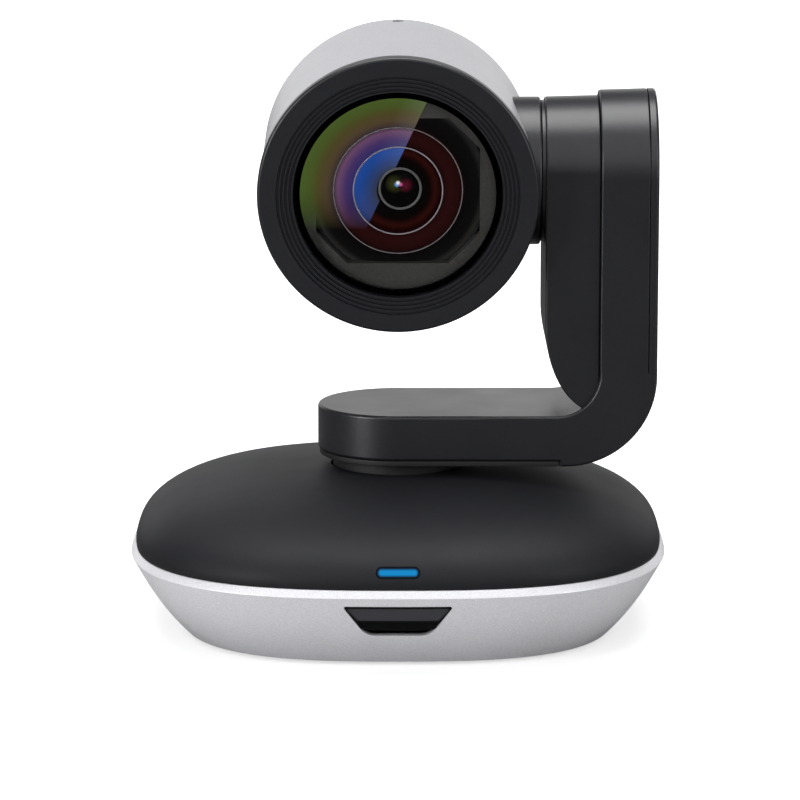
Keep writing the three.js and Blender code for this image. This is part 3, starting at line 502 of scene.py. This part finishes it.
links.new(shader.outputs[0], output.inputs["Surface"])
guide_outline = prism(stadium(led_half, led_half_height, led_z), "Y", -0.08, -0.061)
guide = carved(dome(0.15 * MM), [guide_outline], "INTERSECT")
finished("indicator_light", guide, "base", "blue", light_material, "led_lens")

# ---- Receiver window ---------------------------------------------------------------------------
# A polished black window that passes infrared, set a little into the tray. Its lower strip is painted near black as
# shade, standing for the shadow where it slopes back under a ledge; above it, the window's own dark grey shows.
window_material, nodes, links, output = node_tree("smoked_window")
shader = nodes.new("ShaderNodeBsdfPrincipled")
shader.inputs["Roughness"].default_value = 0.22
place = nodes.new("ShaderNodeTexCoord")
parts = nodes.new("ShaderNodeSeparateXYZ")
# Painted shade: below this height the colour drops to near black.
painted_shade_band = nodes.new("ShaderNodeMapRange")
painted_shade_band.inputs["From Min"].default_value = 0.0126
painted_shade_band.inputs["From Max"].default_value = 0.0128
painted_light_tint = nodes.new("ShaderNodeMix")
painted_light_tint.data_type = "RGBA"
painted_light_tint.inputs["A"].default_value = (0.0012, 0.0013, 0.0018, 1)
painted_light_tint.inputs["B"].default_value = (0.045, 0.045, 0.052, 1)
cloud = nodes.new("ShaderNodeTexNoise")
cloud.inputs["Scale"].default_value = 900
soften = nodes.new("ShaderNodeMapRange")
soften.inputs["To Min"].default_value = 0.3
soften.inputs["To Max"].default_value = 0.42
links.new(place.outputs["Object"], parts.inputs[0])
links.new(place.outputs["Object"], cloud.inputs["Vector"])
links.new(cloud.outputs["Fac"], soften.inputs["Value"])
links.new(soften.outputs[0], shader.inputs["Roughness"])
links.new(parts.outputs["Z"], painted_shade_band.inputs["Value"])
links.new(painted_shade_band.outputs[0], painted_light_tint.inputs["Factor"])
links.new(painted_light_tint.outputs["Result"], shader.inputs["Base Color"])
shader.inputs["Specular IOR Level"].default_value = 0.25
links.new(shader.outputs[0], output.inputs["Surface"])
pane = carved(bowl(0.7 * MM, BEVEL_TOP), [prism(window_outline(-0.75 * MM), "Y", -0.08, -0.059)], "INTERSECT")
finished("receiver_window", pane, "base", "smoked", window_material, "ir_window")
gasket_black = grained("gasket_black", (0.003, 0.003, 0.0035), (0.0015, 0.0015, 0.002), 0.5, specular=0.2)
gasket = carved(
    carved(bowl(0.5 * MM, BEVEL_TOP), [prism(window_outline(-0.05 * MM), "Y", -0.08, -0.0595)], "INTERSECT"),
    [prism(window_outline(-0.75 * MM), "Y", -0.09, -0.05)],
)
finished("receiver_gasket", gasket, "base", "smoked", gasket_black)

# ---- Neck --------------------------------------------------------------------------------------
# The moulded turntable that carries the arm through the cover; only its short neck shows.
neck_r = neck_high.x
neck = spun([
    (4 * MM, neck_low.z), (9.1 * MM, neck_low.z), (9.1 * MM, 26.1 * MM), (11 * MM, 26.1 * MM),
    (11 * MM, 33 * MM), (neck_r, 33 * MM), (neck_r, neck_high.z), (4 * MM, neck_high.z),
], "Z", 96, ring=True)
finished("turntable_neck", neck, "arm", "black", dull_black, "turntable")

# ---- Arm ---------------------------------------------------------------------------------------
# One L-shaped moulding in satin black: a level strip with a round end over the pan axis, a round
# bend, and an upright with a round top about the tilt axis. All rims are softly rounded.
arm_low, arm_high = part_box("arm_shell")
side_low, side_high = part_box("arm_side_cover")
plate_low, plate_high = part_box("arm_bottom_cover")
tilt_joint = next(j for j in frame["joints"] if j["name"] == "tilt")
AXIS_Z = tilt_joint["pos_m"][2]
ARM_HALF = arm_high.y
ARM_BOTTOM = plate_low.z
ARM_TOP = ARM_BOTTOM + 12.4 * MM
INNER_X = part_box("arm_inner_housing")[1].x + 0.1 * MM
OUTER_X = side_high.x
SEAM_X = side_low.x
ROUND = 0.8 * MM
OUT_CORNER, IN_CORNER = 22 * MM, 10.5 * MM
JOIN_X = 20 * MM
SEAM_Z = side_low.z


def upright_side(half, bottom):
    """The upright seen from the side: straight edges and a round top."""
    return [(half, bottom), *arc(0, AXIS_Z, half, 0, 180, 48), (-half, bottom)]


def kept(bm, point, normal):
    """Cuts a solid by a plane, drops the side the normal points to, and closes the cut."""
    geom = [*bm.verts, *bm.edges, *bm.faces]
    cut = bmesh.ops.bisect_plane(bm, geom=geom, plane_co=point, plane_no=normal, clear_outer=True)
    edges = [g for g in cut["geom_cut"] if isinstance(g, bmesh.types.BMEdge)]
    bmesh.ops.holes_fill(bm, edges=edges, sides=0)
    bmesh.ops.recalc_face_normals(bm, faces=bm.faces)
    return bm


def together(*solids):
    """Puts solids that meet face to face into one piece."""
    whole = bmesh.new()
    for bm in solids:
        mesh = bpy.data.meshes.new("part")
        bm.to_mesh(mesh)
        bm.free()
        whole.from_mesh(mesh)
        bpy.data.meshes.remove(mesh)
    return whole


def drafted(bm, pivot):
    """The upright widens a little towards its outer side, as a moulding does to leave its tool."""
    for v in bm.verts:
        share = min(max((v.co.z - SEAM_Z) / (AXIS_Z - SEAM_Z), 0), 1)
        grow = 1 + 0.0014 / MM * (v.co.x - pivot) * share
        v.co.y *= grow
        if v.co.z > AXIS_Z:
            v.co.z = AXIS_Z + (v.co.z - AXIS_Z) * grow
    return bm


strip = [
    *arc(0, 0, ARM_HALF, 90, 270, 64), (JOIN_X + 10 * MM, -ARM_HALF), (JOIN_X + 10 * MM, ARM_HALF),
]
level = kept(prism(strip, "Z", plate_high.z, ARM_TOP, ROUND), (JOIN_X, 0, 0), (1, 0, 0))
bend_outline = [
    (JOIN_X - 10 * MM, plate_high.z), (plate_high.x + 0.15 * MM, plate_high.z),
    (plate_high.x + 0.15 * MM, ARM_BOTTOM),
    *arc(OUTER_X - OUT_CORNER, ARM_BOTTOM + OUT_CORNER, OUT_CORNER, -90, 0, 24),
    (OUTER_X, SEAM_Z + 20 * MM), (INNER_X, SEAM_Z + 20 * MM),
    *arc(INNER_X - IN_CORNER, ARM_TOP + IN_CORNER, IN_CORNER, 0, -90, 16), (JOIN_X - 10 * MM, ARM_TOP),
]
bend = prism(bend_outline, "Y", -ARM_HALF, ARM_HALF, ROUND)
bend = kept(kept(bend, (JOIN_X, 0, 0), (-1, 0, 0)), (0, 0, SEAM_Z), (0, 0, 1))
upright = kept(
    prism(upright_side(ARM_HALF, SEAM_Z - 20 * MM), "X", INNER_X, SEAM_X - 0.12 * MM, ROUND * 0.5),
    (0, 0, SEAM_Z), (0, 0, -1),
)
arm = together(level, bend, drafted(upright, INNER_X))
finished("arm_moulding", arm, "arm", "black", satin_black, "arm_shell")

# ---- Arm's side cover --------------------------------------------------------------------------
# A thin plate that closes the belt drive on the outer side. A hair-thin seam parts it from the arm.
side_cover = kept(
    prism(upright_side(ARM_HALF, SEAM_Z - 20 * MM), "X", SEAM_X - 0.02 * MM, OUTER_X, 0.0),
    (0, 0, SEAM_Z + 0.05 * MM), (0, 0, -1),
)
outer_rim = [e for e in side_cover.edges if all(abs(v.co.x - OUTER_X) < 1e-6 for v in e.verts)
             and not all(v.co.z < SEAM_Z + 0.1 * MM for v in e.verts)]
inner_rim = [e for e in side_cover.edges if all(abs(v.co.x - SEAM_X + 0.02 * MM) < 1e-6 for v in e.verts)
             and not all(v.co.z < SEAM_Z + 0.1 * MM for v in e.verts)]
bmesh.ops.bevel(side_cover, geom=outer_rim, offset=ROUND, segments=4, profile=0.5, affect="EDGES", material=-1)
bmesh.ops.bevel(side_cover, geom=inner_rim, offset=0.15 * MM, segments=2, profile=0.5, affect="EDGES", material=-1)
finished("arm_side_plate", drafted(side_cover, INNER_X), "arm", "black", satin_black, "arm_side_cover")

# ---- Arm's bottom plate ------------------------------------------------------------------------
# A thin plate screwed under the level strip, set in a little, so that its seam shows as a fine line.
plate_outline = [
    *arc(0, 0, plate_high.y, 90, 270, 64), (plate_high.x, -plate_high.y), (plate_high.x, plate_high.y),
]
plate = prism(plate_outline, "Z", plate_low.z, plate_high.z, 0.25 * MM, 2)
screw_seats = []
for i in range(2):
    low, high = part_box(f"arm_screw_{i + 1}")
    seat = spun([(0, 0.04), (2.3 * MM, 0.04), (2.3 * MM, plate_low.z + 0.7 * MM), (0, plate_low.z + 0.7 * MM)], "Z", 32)
    bmesh.ops.translate(seat, verts=seat.verts, vec=((low.x + high.x) / 2, 0, 0))
    screw_seats.append(seat)
finished("arm_bottom_plate", carved(plate, screw_seats), "arm", "black", dull_black, "arm_bottom_cover")

# ---- Inner housing -----------------------------------------------------------------------------
# The tilt bearing's housing on the arm's inner side: a moulding with a round top that tapers away
# along a curve into the arm's inner corner.
house_low, house_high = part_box("arm_inner_housing")
HOUSE_HALF = house_high.y
sweep = [(INNER_X, 0.16), (house_low.x, 0.16), (house_low.x, 76 * MM)]
for i in range(1, 25):
    turn = i * math.pi / 48
    sweep.append((INNER_X - (INNER_X - house_low.x) * math.cos(turn), (76 - 22 * math.sin(turn)) * MM))
housing = carved(
    prism(upright_side(HOUSE_HALF, 0.03), "X", house_low.x, INNER_X, 0.6 * MM),
    [prism(sweep, "Y", 0.04 * MM - HOUSE_HALF, HOUSE_HALF - 0.04 * MM, 0.5 * MM)], "INTERSECT",
)
corner_tool = prism(bend_outline, "Y", -0.03, 0.03)
housing = carved(housing, [corner_tool])
boss = spun([(14 * MM, 0), (17.2 * MM, 0), (17.2 * MM, 0.75 * MM), (14 * MM, 0.75 * MM)], "X", 64, ring=True)
bmesh.ops.translate(boss, verts=boss.verts, vec=(house_low.x - 0.72 * MM, 0, AXIS_Z))
housing = together(drafted(housing, (house_low.x + INNER_X) / 2), boss)
finished("tilt_housing", housing, "arm", "black", satin_black, "arm_inner_housing")

# ---- Head barrel -------------------------------------------------------------------------------
# The silver barrel: a round painted shell, straight over most of its length and rounded into the
# back. A small dimple marks the top. The head is built level and then tipped to its rest angle.
zoom_joint = next(j for j in frame["joints"] if j["name"] == "zoom")
PITCH = math.atan2(zoom_joint["axis"][2], zoom_joint["axis"][1])
HEAD_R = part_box("head_shell")[1].x
SEAM_Y, BACK_Y, BACK_ROUND = -23.7 * MM, 20.4 * MM, 10.7 * MM


def tipped(bm):
    """Takes a piece of the head from its level building place to its place on the tilt axis."""
    bmesh.ops.rotate(bm, verts=bm.verts, cent=(0, 0, 0), matrix=Matrix.Rotation(PITCH, 3, "X"))
    bmesh.ops.translate(bm, verts=bm.verts, vec=(0, 0, AXIS_Z))
    return bm


back_end = BACK_Y + BACK_ROUND
cap_r = 22 * MM
inner_r = HEAD_R - 2 * MM
barrel = spun([
    (inner_r, SEAM_Y), (HEAD_R - 0.2 * MM, SEAM_Y), (HEAD_R, SEAM_Y + 0.2 * MM),
    *arc(HEAD_R - BACK_ROUND, BACK_Y, BACK_ROUND, 0, 90, 16),
    (cap_r, back_end), (cap_r, back_end - 2 * MM),
    *arc(HEAD_R - BACK_ROUND, BACK_Y, BACK_ROUND - 2 * MM, 90, 0, 12),
], "Y", 160, ring=True)
dimple = spun([(0, 31 * MM), (1.4 * MM, 32.2 * MM), (1.4 * MM, 36 * MM), (0, 36 * MM)], "Z", 24)
bmesh.ops.translate(dimple, verts=dimple.verts, vec=(0, BACK_Y - 1 * MM, 0))
finished("head_barrel", tipped(carved(barrel, [dimple])), "head", "silver", silver, "head_shell")
cap = spun([
    (0, back_end - 1.7 * MM), (cap_r - 0.3 * MM, back_end - 1.7 * MM), (cap_r - 0.3 * MM, back_end - 0.4 * MM),
    (cap_r - 0.7 * MM, back_end), (0, back_end),
], "Y", 96)
finished("head_back_cap", tipped(cap), "head", "silver", silver, "head_rear_cap")

# ---- Tilt hub ----------------------------------------------------------------------------------
# The black round boss that carries the head on the arm, moulded to sit on the barrel's side.
hub_low, hub_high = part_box("tilt_hub")
hub_end = hub_high.x
HUB_R = 18 * MM
hub = spun([
    (0, 20 * MM), (HUB_R, 20 * MM), (HUB_R, hub_end - 0.6 * MM),
    *arc(HUB_R - 0.6 * MM, hub_end - 0.6 * MM, 0.6 * MM, 0, 90, 5), (0, hub_end),
], "X", 96)
on_barrel = spun([(0, -0.04), (HEAD_R + 0.02 * MM, -0.04), (HEAD_R + 0.02 * MM, 0.04), (0, 0.04)], "Y", 160)
hub_tools = [on_barrel]
for side in (-1, 1):
    bore = spun([(0, hub_end - 1.6 * MM), (2.5 * MM, hub_end - 1.6 * MM), (2.5 * MM, 0.05), (0, 0.05)], "X", 32)
    bmesh.ops.translate(bore, verts=bore.verts, vec=(0, 0, side * 11 * MM))
    hub_tools.append(bore)
shaft_bore = spun([(0, 0.02), (7.3 * MM, 0.02), (7.3 * MM, 0.05), (0, 0.05)], "X", 48)
hub_tools.append(shaft_bore)
finished("tilt_boss", tipped(carved(hub, hub_tools)), "head", "black", satin_black, "tilt_hub")

# ---- Front bezel -------------------------------------------------------------------------------
# The black ring round the lens: a flat face, a softly rounded outer rim, and four fine steps that
# lead down to the glass.
BEZEL_R = 33.6 * MM
FACE_Y = -27.0 * MM
STEP_OUT, STEP, DROP = 29.1 * MM, 1.0 * MM, 0.2 * MM
steps = []
for i in range(4):
    outer = STEP_OUT - i * STEP
    level_y = FACE_Y + i * DROP
    steps += [
        (outer, level_y), (outer - 0.12 * MM, level_y + DROP * 3), (outer - 0.5 * MM, level_y + DROP * 3),
        (outer - 0.6 * MM, level_y + DROP),
    ]
POCKET_R = STEP_OUT - 4 * STEP
LEDGE_Y = FACE_Y + 4 * DROP + 1.8 * MM
bezel = spun([
    (31 * MM, -24 * MM), (BEZEL_R, -24 * MM), (BEZEL_R, FACE_Y + 0.8 * MM),
    *arc(BEZEL_R - 0.8 * MM, FACE_Y + 0.8 * MM, 0.8 * MM, 0, -90, 6), *steps,
    (POCKET_R, FACE_Y + 4 * DROP), (POCKET_R, LEDGE_Y), (23.6 * MM, LEDGE_Y), (23.6 * MM, LEDGE_Y + 1.4 * MM),
    (28.4 * MM, LEDGE_Y + 1.4 * MM), (28.4 * MM, -18 * MM), (31 * MM, -18 * MM),
], "Y", 192, ring=True)
bezel_black = grained(
    "bezel_black", (0.0118, 0.0123, 0.0163), (0.008, 0.0084, 0.0113),
    0.36, bump=0.00003, specular=0.55,
)
finished("front_ring", tipped(bezel), "head", "black", bezel_black, "front_bezel", sharp=25)

# ---- Front glass -------------------------------------------------------------------------------
# A flat window with a printed black border. It is clear, with a faint even reflection.
GLASS_Y = -26.0 * MM
clear_glass, nodes, links, output = node_tree("clear_window")
see_through = nodes.new("ShaderNodeBsdfTransparent")
gleam = nodes.new("ShaderNodeBsdfGlossy")
gleam.inputs["Roughness"].default_value = 0.05
blend = nodes.new("ShaderNodeMixShader")
place = nodes.new("ShaderNodeTexCoord")
dust = nodes.new("ShaderNodeTexNoise")
dust.inputs["Scale"].default_value = 300
facing = nodes.new("ShaderNodeLayerWeight")
facing.inputs["Blend"].default_value = 0.5
grazing = maths("MULTIPLY", facing.outputs["Facing"], facing.outputs["Facing"])
links.new(place.outputs["Object"], dust.inputs["Vector"])
links.new(maths("MULTIPLY", grazing, maths("MULTIPLY_ADD", dust.outputs["Fac"], 0.2, 0.5)), blend.inputs["Fac"])
links.new(see_through.outputs[0], blend.inputs[1])
links.new(gleam.outputs[0], blend.inputs[2])
links.new(blend.outputs[0], output.inputs["Surface"])
glass = spun([(0, GLASS_Y), (24.5 * MM, GLASS_Y), (24.7 * MM, GLASS_Y + 0.2 * MM),
              (24.7 * MM, GLASS_Y + 1.3 * MM), (0, GLASS_Y + 1.3 * MM)], "Y", 96)
finished("front_window", tipped(glass), "head", "glass", clear_glass, "front_glass")
border = spun([
    (23.4 * MM, GLASS_Y + 1.32 * MM), (24.95 * MM, GLASS_Y + 1.32 * MM),
    (24.95 * MM, GLASS_Y + 1.38 * MM), (23.4 * MM, GLASS_Y + 1.38 * MM),
], "Y", 128, ring=True)
border_black = grained(
    "printed_border", (0.0005, 0.0005, 0.0006), (0.0002, 0.0002, 0.0003),
    0.5, specular=0.0,
)
finished("window_border", tipped(border), "head", "inner_black", border_black)

# ---- Window coating and its painted reflection -------------------------------------------------
# A painted reflection in the anti-reflection coats, given as emission on a thin sheet behind the glass: a coloured
# wedge, green outside, then brown, mauve and blue towards the middle, with one clean straight edge. It fades towards
# the bottom and has a faint painted whitening just inside the edge.
coat, nodes, links, output = node_tree("lens_coating_painted_reflection")


def head_place():
    """Level head coordinates in millimetres: x across, z up, measured from the lens axis."""
    spot = nodes.new("ShaderNodeTexCoord")
    level_map = nodes.new("ShaderNodeMapping")
    level_map.vector_type = "TEXTURE"
    level_map.inputs["Location"].default_value = (0, 0, AXIS_Z)
    level_map.inputs["Rotation"].default_value = (PITCH, 0, 0)
    level_map.inputs["Scale"].default_value = (MM, MM, MM)
    links.new(spot.outputs["Object"], level_map.inputs["Vector"])
    apart = nodes.new("ShaderNodeSeparateXYZ")
    links.new(level_map.outputs[0], apart.inputs[0])
    return apart.outputs["X"], apart.outputs["Z"], level_map.outputs[0]


def ramp(value, stops):
    """A colour ramp with stops of (place, colour)."""
    node = nodes.new("ShaderNodeValToRGB")
    elements = node.color_ramp.elements
    while len(elements) < len(stops):
        elements.new(0.5)
    for element, (at, colour) in zip(elements, stops):
        element.position = at
        element.color = (*colour, 1)
    links.new(value, node.inputs["Fac"])
    return node.outputs["Color"]


RAISED = 0.6
across, up, level_point = head_place()
up = maths("SUBTRACT", up, RAISED)
radius = maths("SQRT", maths("ADD", maths("MULTIPLY", across, across), maths("MULTIPLY", up, up)))
painted_reflection_colour = ramp(maths("DIVIDE", radius, 24.0), [
    (0.0, (0.004, 0.006, 0.012)), (0.21, (0.008, 0.016, 0.045)), (0.28, (0.012, 0.035, 0.14)),
    (0.38, (0.012, 0.058, 0.27)), (0.435, (0.016, 0.062, 0.28)), (0.455, (0.03, 0.025, 0.12)),
    (0.52, (0.055, 0.03, 0.12)), (0.60, (0.13, 0.06, 0.13)), (0.645, (0.035, 0.025, 0.028)),
    (0.71, (0.075, 0.05, 0.026)), (0.79, (0.07, 0.06, 0.018)), (0.86, (0.06, 0.084, 0.018)),
    (1.0, (0.062, 0.108, 0.022)),
])
# The painted reflection's straight edge, and the mask of where it shows.
EDGE_X, EDGE_Z, LEAN = 6.6, 20.8, 0.468
edge = maths("SUBTRACT", maths("MULTIPLY_ADD", maths("SUBTRACT", up, EDGE_Z), LEAN, EDGE_X), across)
reflection_sector = maths("MULTIPLY", edge, 6.0, clamp=True)
low_fade = maths("MULTIPLY_ADD", up, 0.09, 0.86, clamp=True)
out_of_pupil = maths("MULTIPLY", maths("SUBTRACT", radius, 4.9), 3.0, clamp=True)
painted_reflection_mask = maths("MULTIPLY", maths("MULTIPLY", reflection_sector, low_fade), out_of_pupil)
shader = nodes.new("ShaderNodeBsdfPrincipled")
shader.inputs["Roughness"].default_value = 0.5
shader.inputs["Specular IOR Level"].default_value = 0.0
speckle = nodes.new("ShaderNodeTexNoise")
speckle.inputs["Scale"].default_value = 3
links.new(level_point, speckle.inputs["Vector"])
# Painted highlight: a faint whitening added just inside the straight edge.
painted_whitening = maths("MULTIPLY", maths("MULTIPLY_ADD", edge, -0.16, 1.0, clamp=True), 0.035)
lit = nodes.new("ShaderNodeMix")
lit.data_type = "RGBA"
lit.blend_type = "ADD"
lit.inputs["Factor"].default_value = 1.0
links.new(painted_reflection_colour, lit.inputs["A"])
links.new(painted_whitening, lit.inputs["B"])
links.new(lit.outputs["Result"], shader.inputs["Emission Color"])
shader.inputs["Emission Strength"].default_value = 1.0
shader.inputs["Base Color"].default_value = (0.0, 0.0, 0.0, 1)
links.new(maths("MULTIPLY", painted_reflection_mask, maths("MULTIPLY_ADD", speckle.outputs["Fac"], 0.2, 0.72)), shader.inputs["Alpha"])
links.new(shader.outputs[0], output.inputs["Surface"])
REFLECTION_SHEET_Y = -23.15 * MM
painted_reflection_sheet = spun([(0, REFLECTION_SHEET_Y), (24.4 * MM, REFLECTION_SHEET_Y), (24.4 * MM, REFLECTION_SHEET_Y + 0.05 * MM), (0, REFLECTION_SHEET_Y + 0.05 * MM)], "Y", 96)
finished("window_coating_painted_reflection", tipped(painted_reflection_sheet), "head", "lens_glass", coat)

# ---- Light baffle ------------------------------------------------------------------------------
# A dark grey moulded frame behind the glass: its square opening has cut corners and keeps stray
# light off the lens.
baffle_front = -22.9 * MM
HALF_X, HALF_Z, CUT = 19.6 * MM, 17.4 * MM, 7.4 * MM
TOP_Z = HALF_Z + 0.75 * MM
frame_hole = [
    (HALF_X - CUT, -HALF_Z), (HALF_X, -HALF_Z + CUT), (HALF_X, TOP_Z - CUT), (HALF_X - CUT, TOP_Z),
    (-HALF_X + CUT, TOP_Z), (-HALF_X, TOP_Z - CUT), (-HALF_X, -HALF_Z + CUT), (-HALF_X + CUT, -HALF_Z),
]
baffle = spun([(0, baffle_front), (27.9 * MM, baffle_front), (27.9 * MM, baffle_front + 3 * MM),
               (0, baffle_front + 3 * MM)], "Y", 96)
baffle = carved(baffle, [prism(frame_hole, "Y", -0.04, -0.01)])
baffle_grey = grained(
    "baffle_grey", (0.052, 0.051, 0.047), (0.038, 0.037, 0.034),
    0.6, bump=0.00005, specular=0.3,
)
finished("baffle_frame", tipped(baffle), "head", "inner_black", baffle_grey, "light_baffle")

# ---- Front lens --------------------------------------------------------------------------------
# The large front element in its cell. Its colour is a painted reflection of its coats, given as emission and not lit by
# the lamps: dark red rings between black, lighter grey at the outer edge. The rims of the glasses behind it show as
# fine bright rings.
dome_front = -22.0 * MM
lens_body = spun([
    (0, dome_front + 2.4 * MM), (4.6 * MM, dome_front + 2.0 * MM), (5.4 * MM, dome_front + 0.9 * MM),
    (10.5 * MM, dome_front + 0.25 * MM), (15.2 * MM, dome_front), (19.0 * MM, dome_front + 1.6 * MM),
    (21.2 * MM, dome_front + 3.0 * MM), (21.2 * MM, dome_front + 6 * MM), (0, dome_front + 6 * MM),
], "Y", 160)
deep, nodes, links, output = node_tree("deep_lens_painted_reflection")
across, up, level_point = head_place()
up = maths("SUBTRACT", up, RAISED)
radius = maths("SQRT", maths("ADD", maths("MULTIPLY", across, across), maths("MULTIPLY", up, up)))
painted_coat_reflection = ramp(maths("DIVIDE", radius, 21.0), [
    (0.0, (0.002, 0.002, 0.002)), (0.24, (0.002, 0.002, 0.002)), (0.36, (0.003, 0.0015, 0.0015)),
    (0.43, (0.022, 0.004, 0.003)), (0.49, (0.006, 0.001, 0.001)), (0.53, (0.012, 0.003, 0.003)),
    (0.60, (0.020, 0.004, 0.004)), (0.70, (0.014, 0.003, 0.003)), (0.76, (0.003, 0.0025, 0.0025)),
    (0.92, (0.004, 0.004, 0.004)), (1.0, (0.020, 0.019, 0.018)),
])
shader = nodes.new("ShaderNodeBsdfPrincipled")
shader.inputs["Roughness"].default_value = 0.3
shader.inputs["Specular IOR Level"].default_value = 0.0
haze = nodes.new("ShaderNodeTexNoise")
haze.inputs["Scale"].default_value = 1.2
haze_relief = nodes.new("ShaderNodeBump")
haze_relief.inputs["Distance"].default_value = 0.00002
haze_relief.inputs["Strength"].default_value = 0.1
links.new(level_point, haze.inputs["Vector"])
links.new(haze.outputs["Fac"], haze_relief.inputs["Height"])
links.new(haze_relief.outputs[0], shader.inputs["Normal"])
links.new(painted_coat_reflection, shader.inputs["Emission Color"])
shader.inputs["Emission Strength"].default_value = 1.0
shader.inputs["Base Color"].default_value = (0.0, 0.0, 0.0, 1)
links.new(shader.outputs[0], output.inputs["Surface"])
finished("front_element", tipped(lens_body), "head", "lens_glass", deep, "front_lens", "lens_ring")


def bright_ring(name, ring_radius, thick, y, material, shift_x=0.0, shift_z=0.0):
    """A thin round wire-like rim: one ring's cross-section spun about the lens axis."""
    ring = spun([(r, t) for r, t in arc(ring_radius, y, thick, 0, 330, 11)], "Y", 160, ring=True)
    bmesh.ops.translate(ring, verts=ring.verts, vec=(shift_x, 0, shift_z))
    return finished(name, tipped(ring), "head", "inner_black", material)


rim_outer = grained("rim_outer", (0.20, 0.18, 0.19), (0.13, 0.12, 0.125), 0.5, specular=0.3)
rim_middle = grained("rim_middle", (0.32, 0.29, 0.33), (0.22, 0.20, 0.22), 0.5, specular=0.3)
rim_inner = grained("rim_inner", (0.14, 0.14, 0.14), (0.08, 0.08, 0.08), 0.5, specular=0.3)
bright_ring("lens_rim_outer", 15.4 * MM, 0.13 * MM, REFLECTION_SHEET_Y - 0.15 * MM, rim_outer, 0.0, RAISED * MM)
bright_ring("lens_rim_middle", 10.65 * MM, 0.16 * MM, REFLECTION_SHEET_Y - 0.18 * MM, rim_middle, 0.0, RAISED * MM)
bright_ring("lens_rim_inner", 4.9 * MM, 0.3 * MM, REFLECTION_SHEET_Y - 0.32 * MM, rim_inner, 0.5 * MM, 1.15 * MM)

# ---- Pupil -------------------------------------------------------------------------------------
# The small inner element and the dark pupil at its middle, coloured by emission, not lit by the lamps: painted olive
# and maroon reflections of its coats and a painted glint of blue, pink and white.
pupil, nodes, links, output = node_tree("pupil_glass_painted_glint")
across, up, level_point = head_place()
side_x = maths("SUBTRACT", across, 0.5)
side_z = maths("SUBTRACT", up, 1.15)


def spot(x, z, sharpness, reach):
    """A soft round spot in the pupil, x and z millimetres from its middle."""
    dx, dz = maths("SUBTRACT", side_x, x), maths("SUBTRACT", side_z, z)
    away = maths("SQRT", maths("ADD", maths("MULTIPLY", dx, dx), maths("MULTIPLY", dz, dz)))
    return maths("MULTIPLY_ADD", away, -sharpness, sharpness * reach, clamp=True)


def over(under, value, colour):
    """Lays a colour over another where the value is 1."""
    node = nodes.new("ShaderNodeMix")
    node.data_type = "RGBA"
    node.inputs["B"].default_value = (*colour, 1)
    links.new(value, node.inputs["Factor"])
    if isinstance(under, tuple):
        node.inputs["A"].default_value = (*under, 1)
    else:
        links.new(under, node.inputs["A"])
    return node.outputs["Result"]


# Painted reflection: olive and maroon tints of the coats, then the dark pupil.
painted_light_tint = over((0.0015, 0.0015, 0.0015), spot(-1.4, 0.4, 0.5, 2.4), (0.03, 0.034, 0.008))
painted_light_tint = over(painted_light_tint, spot(1.3, 0.1, 0.6, 1.9), (0.075, 0.006, 0.016))
painted_light_tint = over(painted_light_tint, spot(0.0, 0.0, 2.5, 0.75), (0.001, 0.001, 0.001))
# Painted glint: small blue, pink and white spots.
painted_light_tint = over(painted_light_tint, spot(-0.75, 0.35, 2.2, 0.75), (0.12, 0.30, 0.62))
painted_light_tint = over(painted_light_tint, spot(0.15, 0.35, 2.2, 0.6), (0.55, 0.10, 0.28))
painted_light_tint = over(painted_light_tint, spot(-0.5, 0.75, 2.6, 0.6), (0.75, 0.75, 0.75))
shader = nodes.new("ShaderNodeBsdfPrincipled")
shader.inputs["Base Color"].default_value = (0.0, 0.0, 0.0, 1)
shader.inputs["Roughness"].default_value = 0.3
shader.inputs["Specular IOR Level"].default_value = 0.05
shader.inputs["Emission Strength"].default_value = 1.0
links.new(painted_light_tint, shader.inputs["Emission Color"])
links.new(shader.outputs[0], output.inputs["Surface"])
bead = spun([(0, dome_front + 1.2 * MM), *arc(0, dome_front + 8.6 * MM, 7.4 * MM, -78, -52, 8),
             (4.7 * MM, dome_front + 4 * MM), (0, dome_front + 4 * MM)], "Y", 96)
bmesh.ops.translate(bead, verts=bead.verts, vec=(0.5 * MM, 0, 1.15 * MM))
finished("inner_element", tipped(bead), "head", "lens_glass", pupil)

# ---- Inside pieces -----------------------------------------------------------------------------
# Boards, motors, gears, bearings and screws keep their machined shapes and get their own finishes.
inside_finishes = {
    "silver": silver,
    "black": dull_black,
    "inner_black": dull_black,
    "smoked": gasket_black,
    "blue": light_material,
    "glass": clear_glass,
    # Lens glass inside shares the front element's emission, a painted reflection.
    "lens_glass": deep,
    "steel": grained("plain_steel", (0.42, 0.42, 0.43), (0.30, 0.30, 0.31), 0.35, metal=0.9, grain=1500),
    "alloy": grained("cast_alloy", (0.45, 0.45, 0.46), (0.33, 0.33, 0.34), 0.5, metal=0.85, grain=900),
    "brass": grained("turned_brass", (0.52, 0.36, 0.14), (0.38, 0.25, 0.09), 0.32, metal=0.9, grain=1200),
    "nylon": grained("natural_nylon", (0.60, 0.58, 0.52), (0.50, 0.48, 0.42), 0.55, grain=800),
    "rubber": grained("soft_rubber", (0.022, 0.022, 0.022), (0.012, 0.012, 0.012), 0.8, grain=1500, specular=0.3),
    "board": grained("circuit_board", (0.02, 0.13, 0.06), (0.012, 0.08, 0.035), 0.45, grain=600),
}
slot_of = {row["node"]: row["material_slot"] for row in record["subparts"]}
for name, node in frame["nodes"].items():
    if node.hide_render:
        continue
    node.data.materials.clear()
    node.data.materials.append(inside_finishes[slot_of[name]])
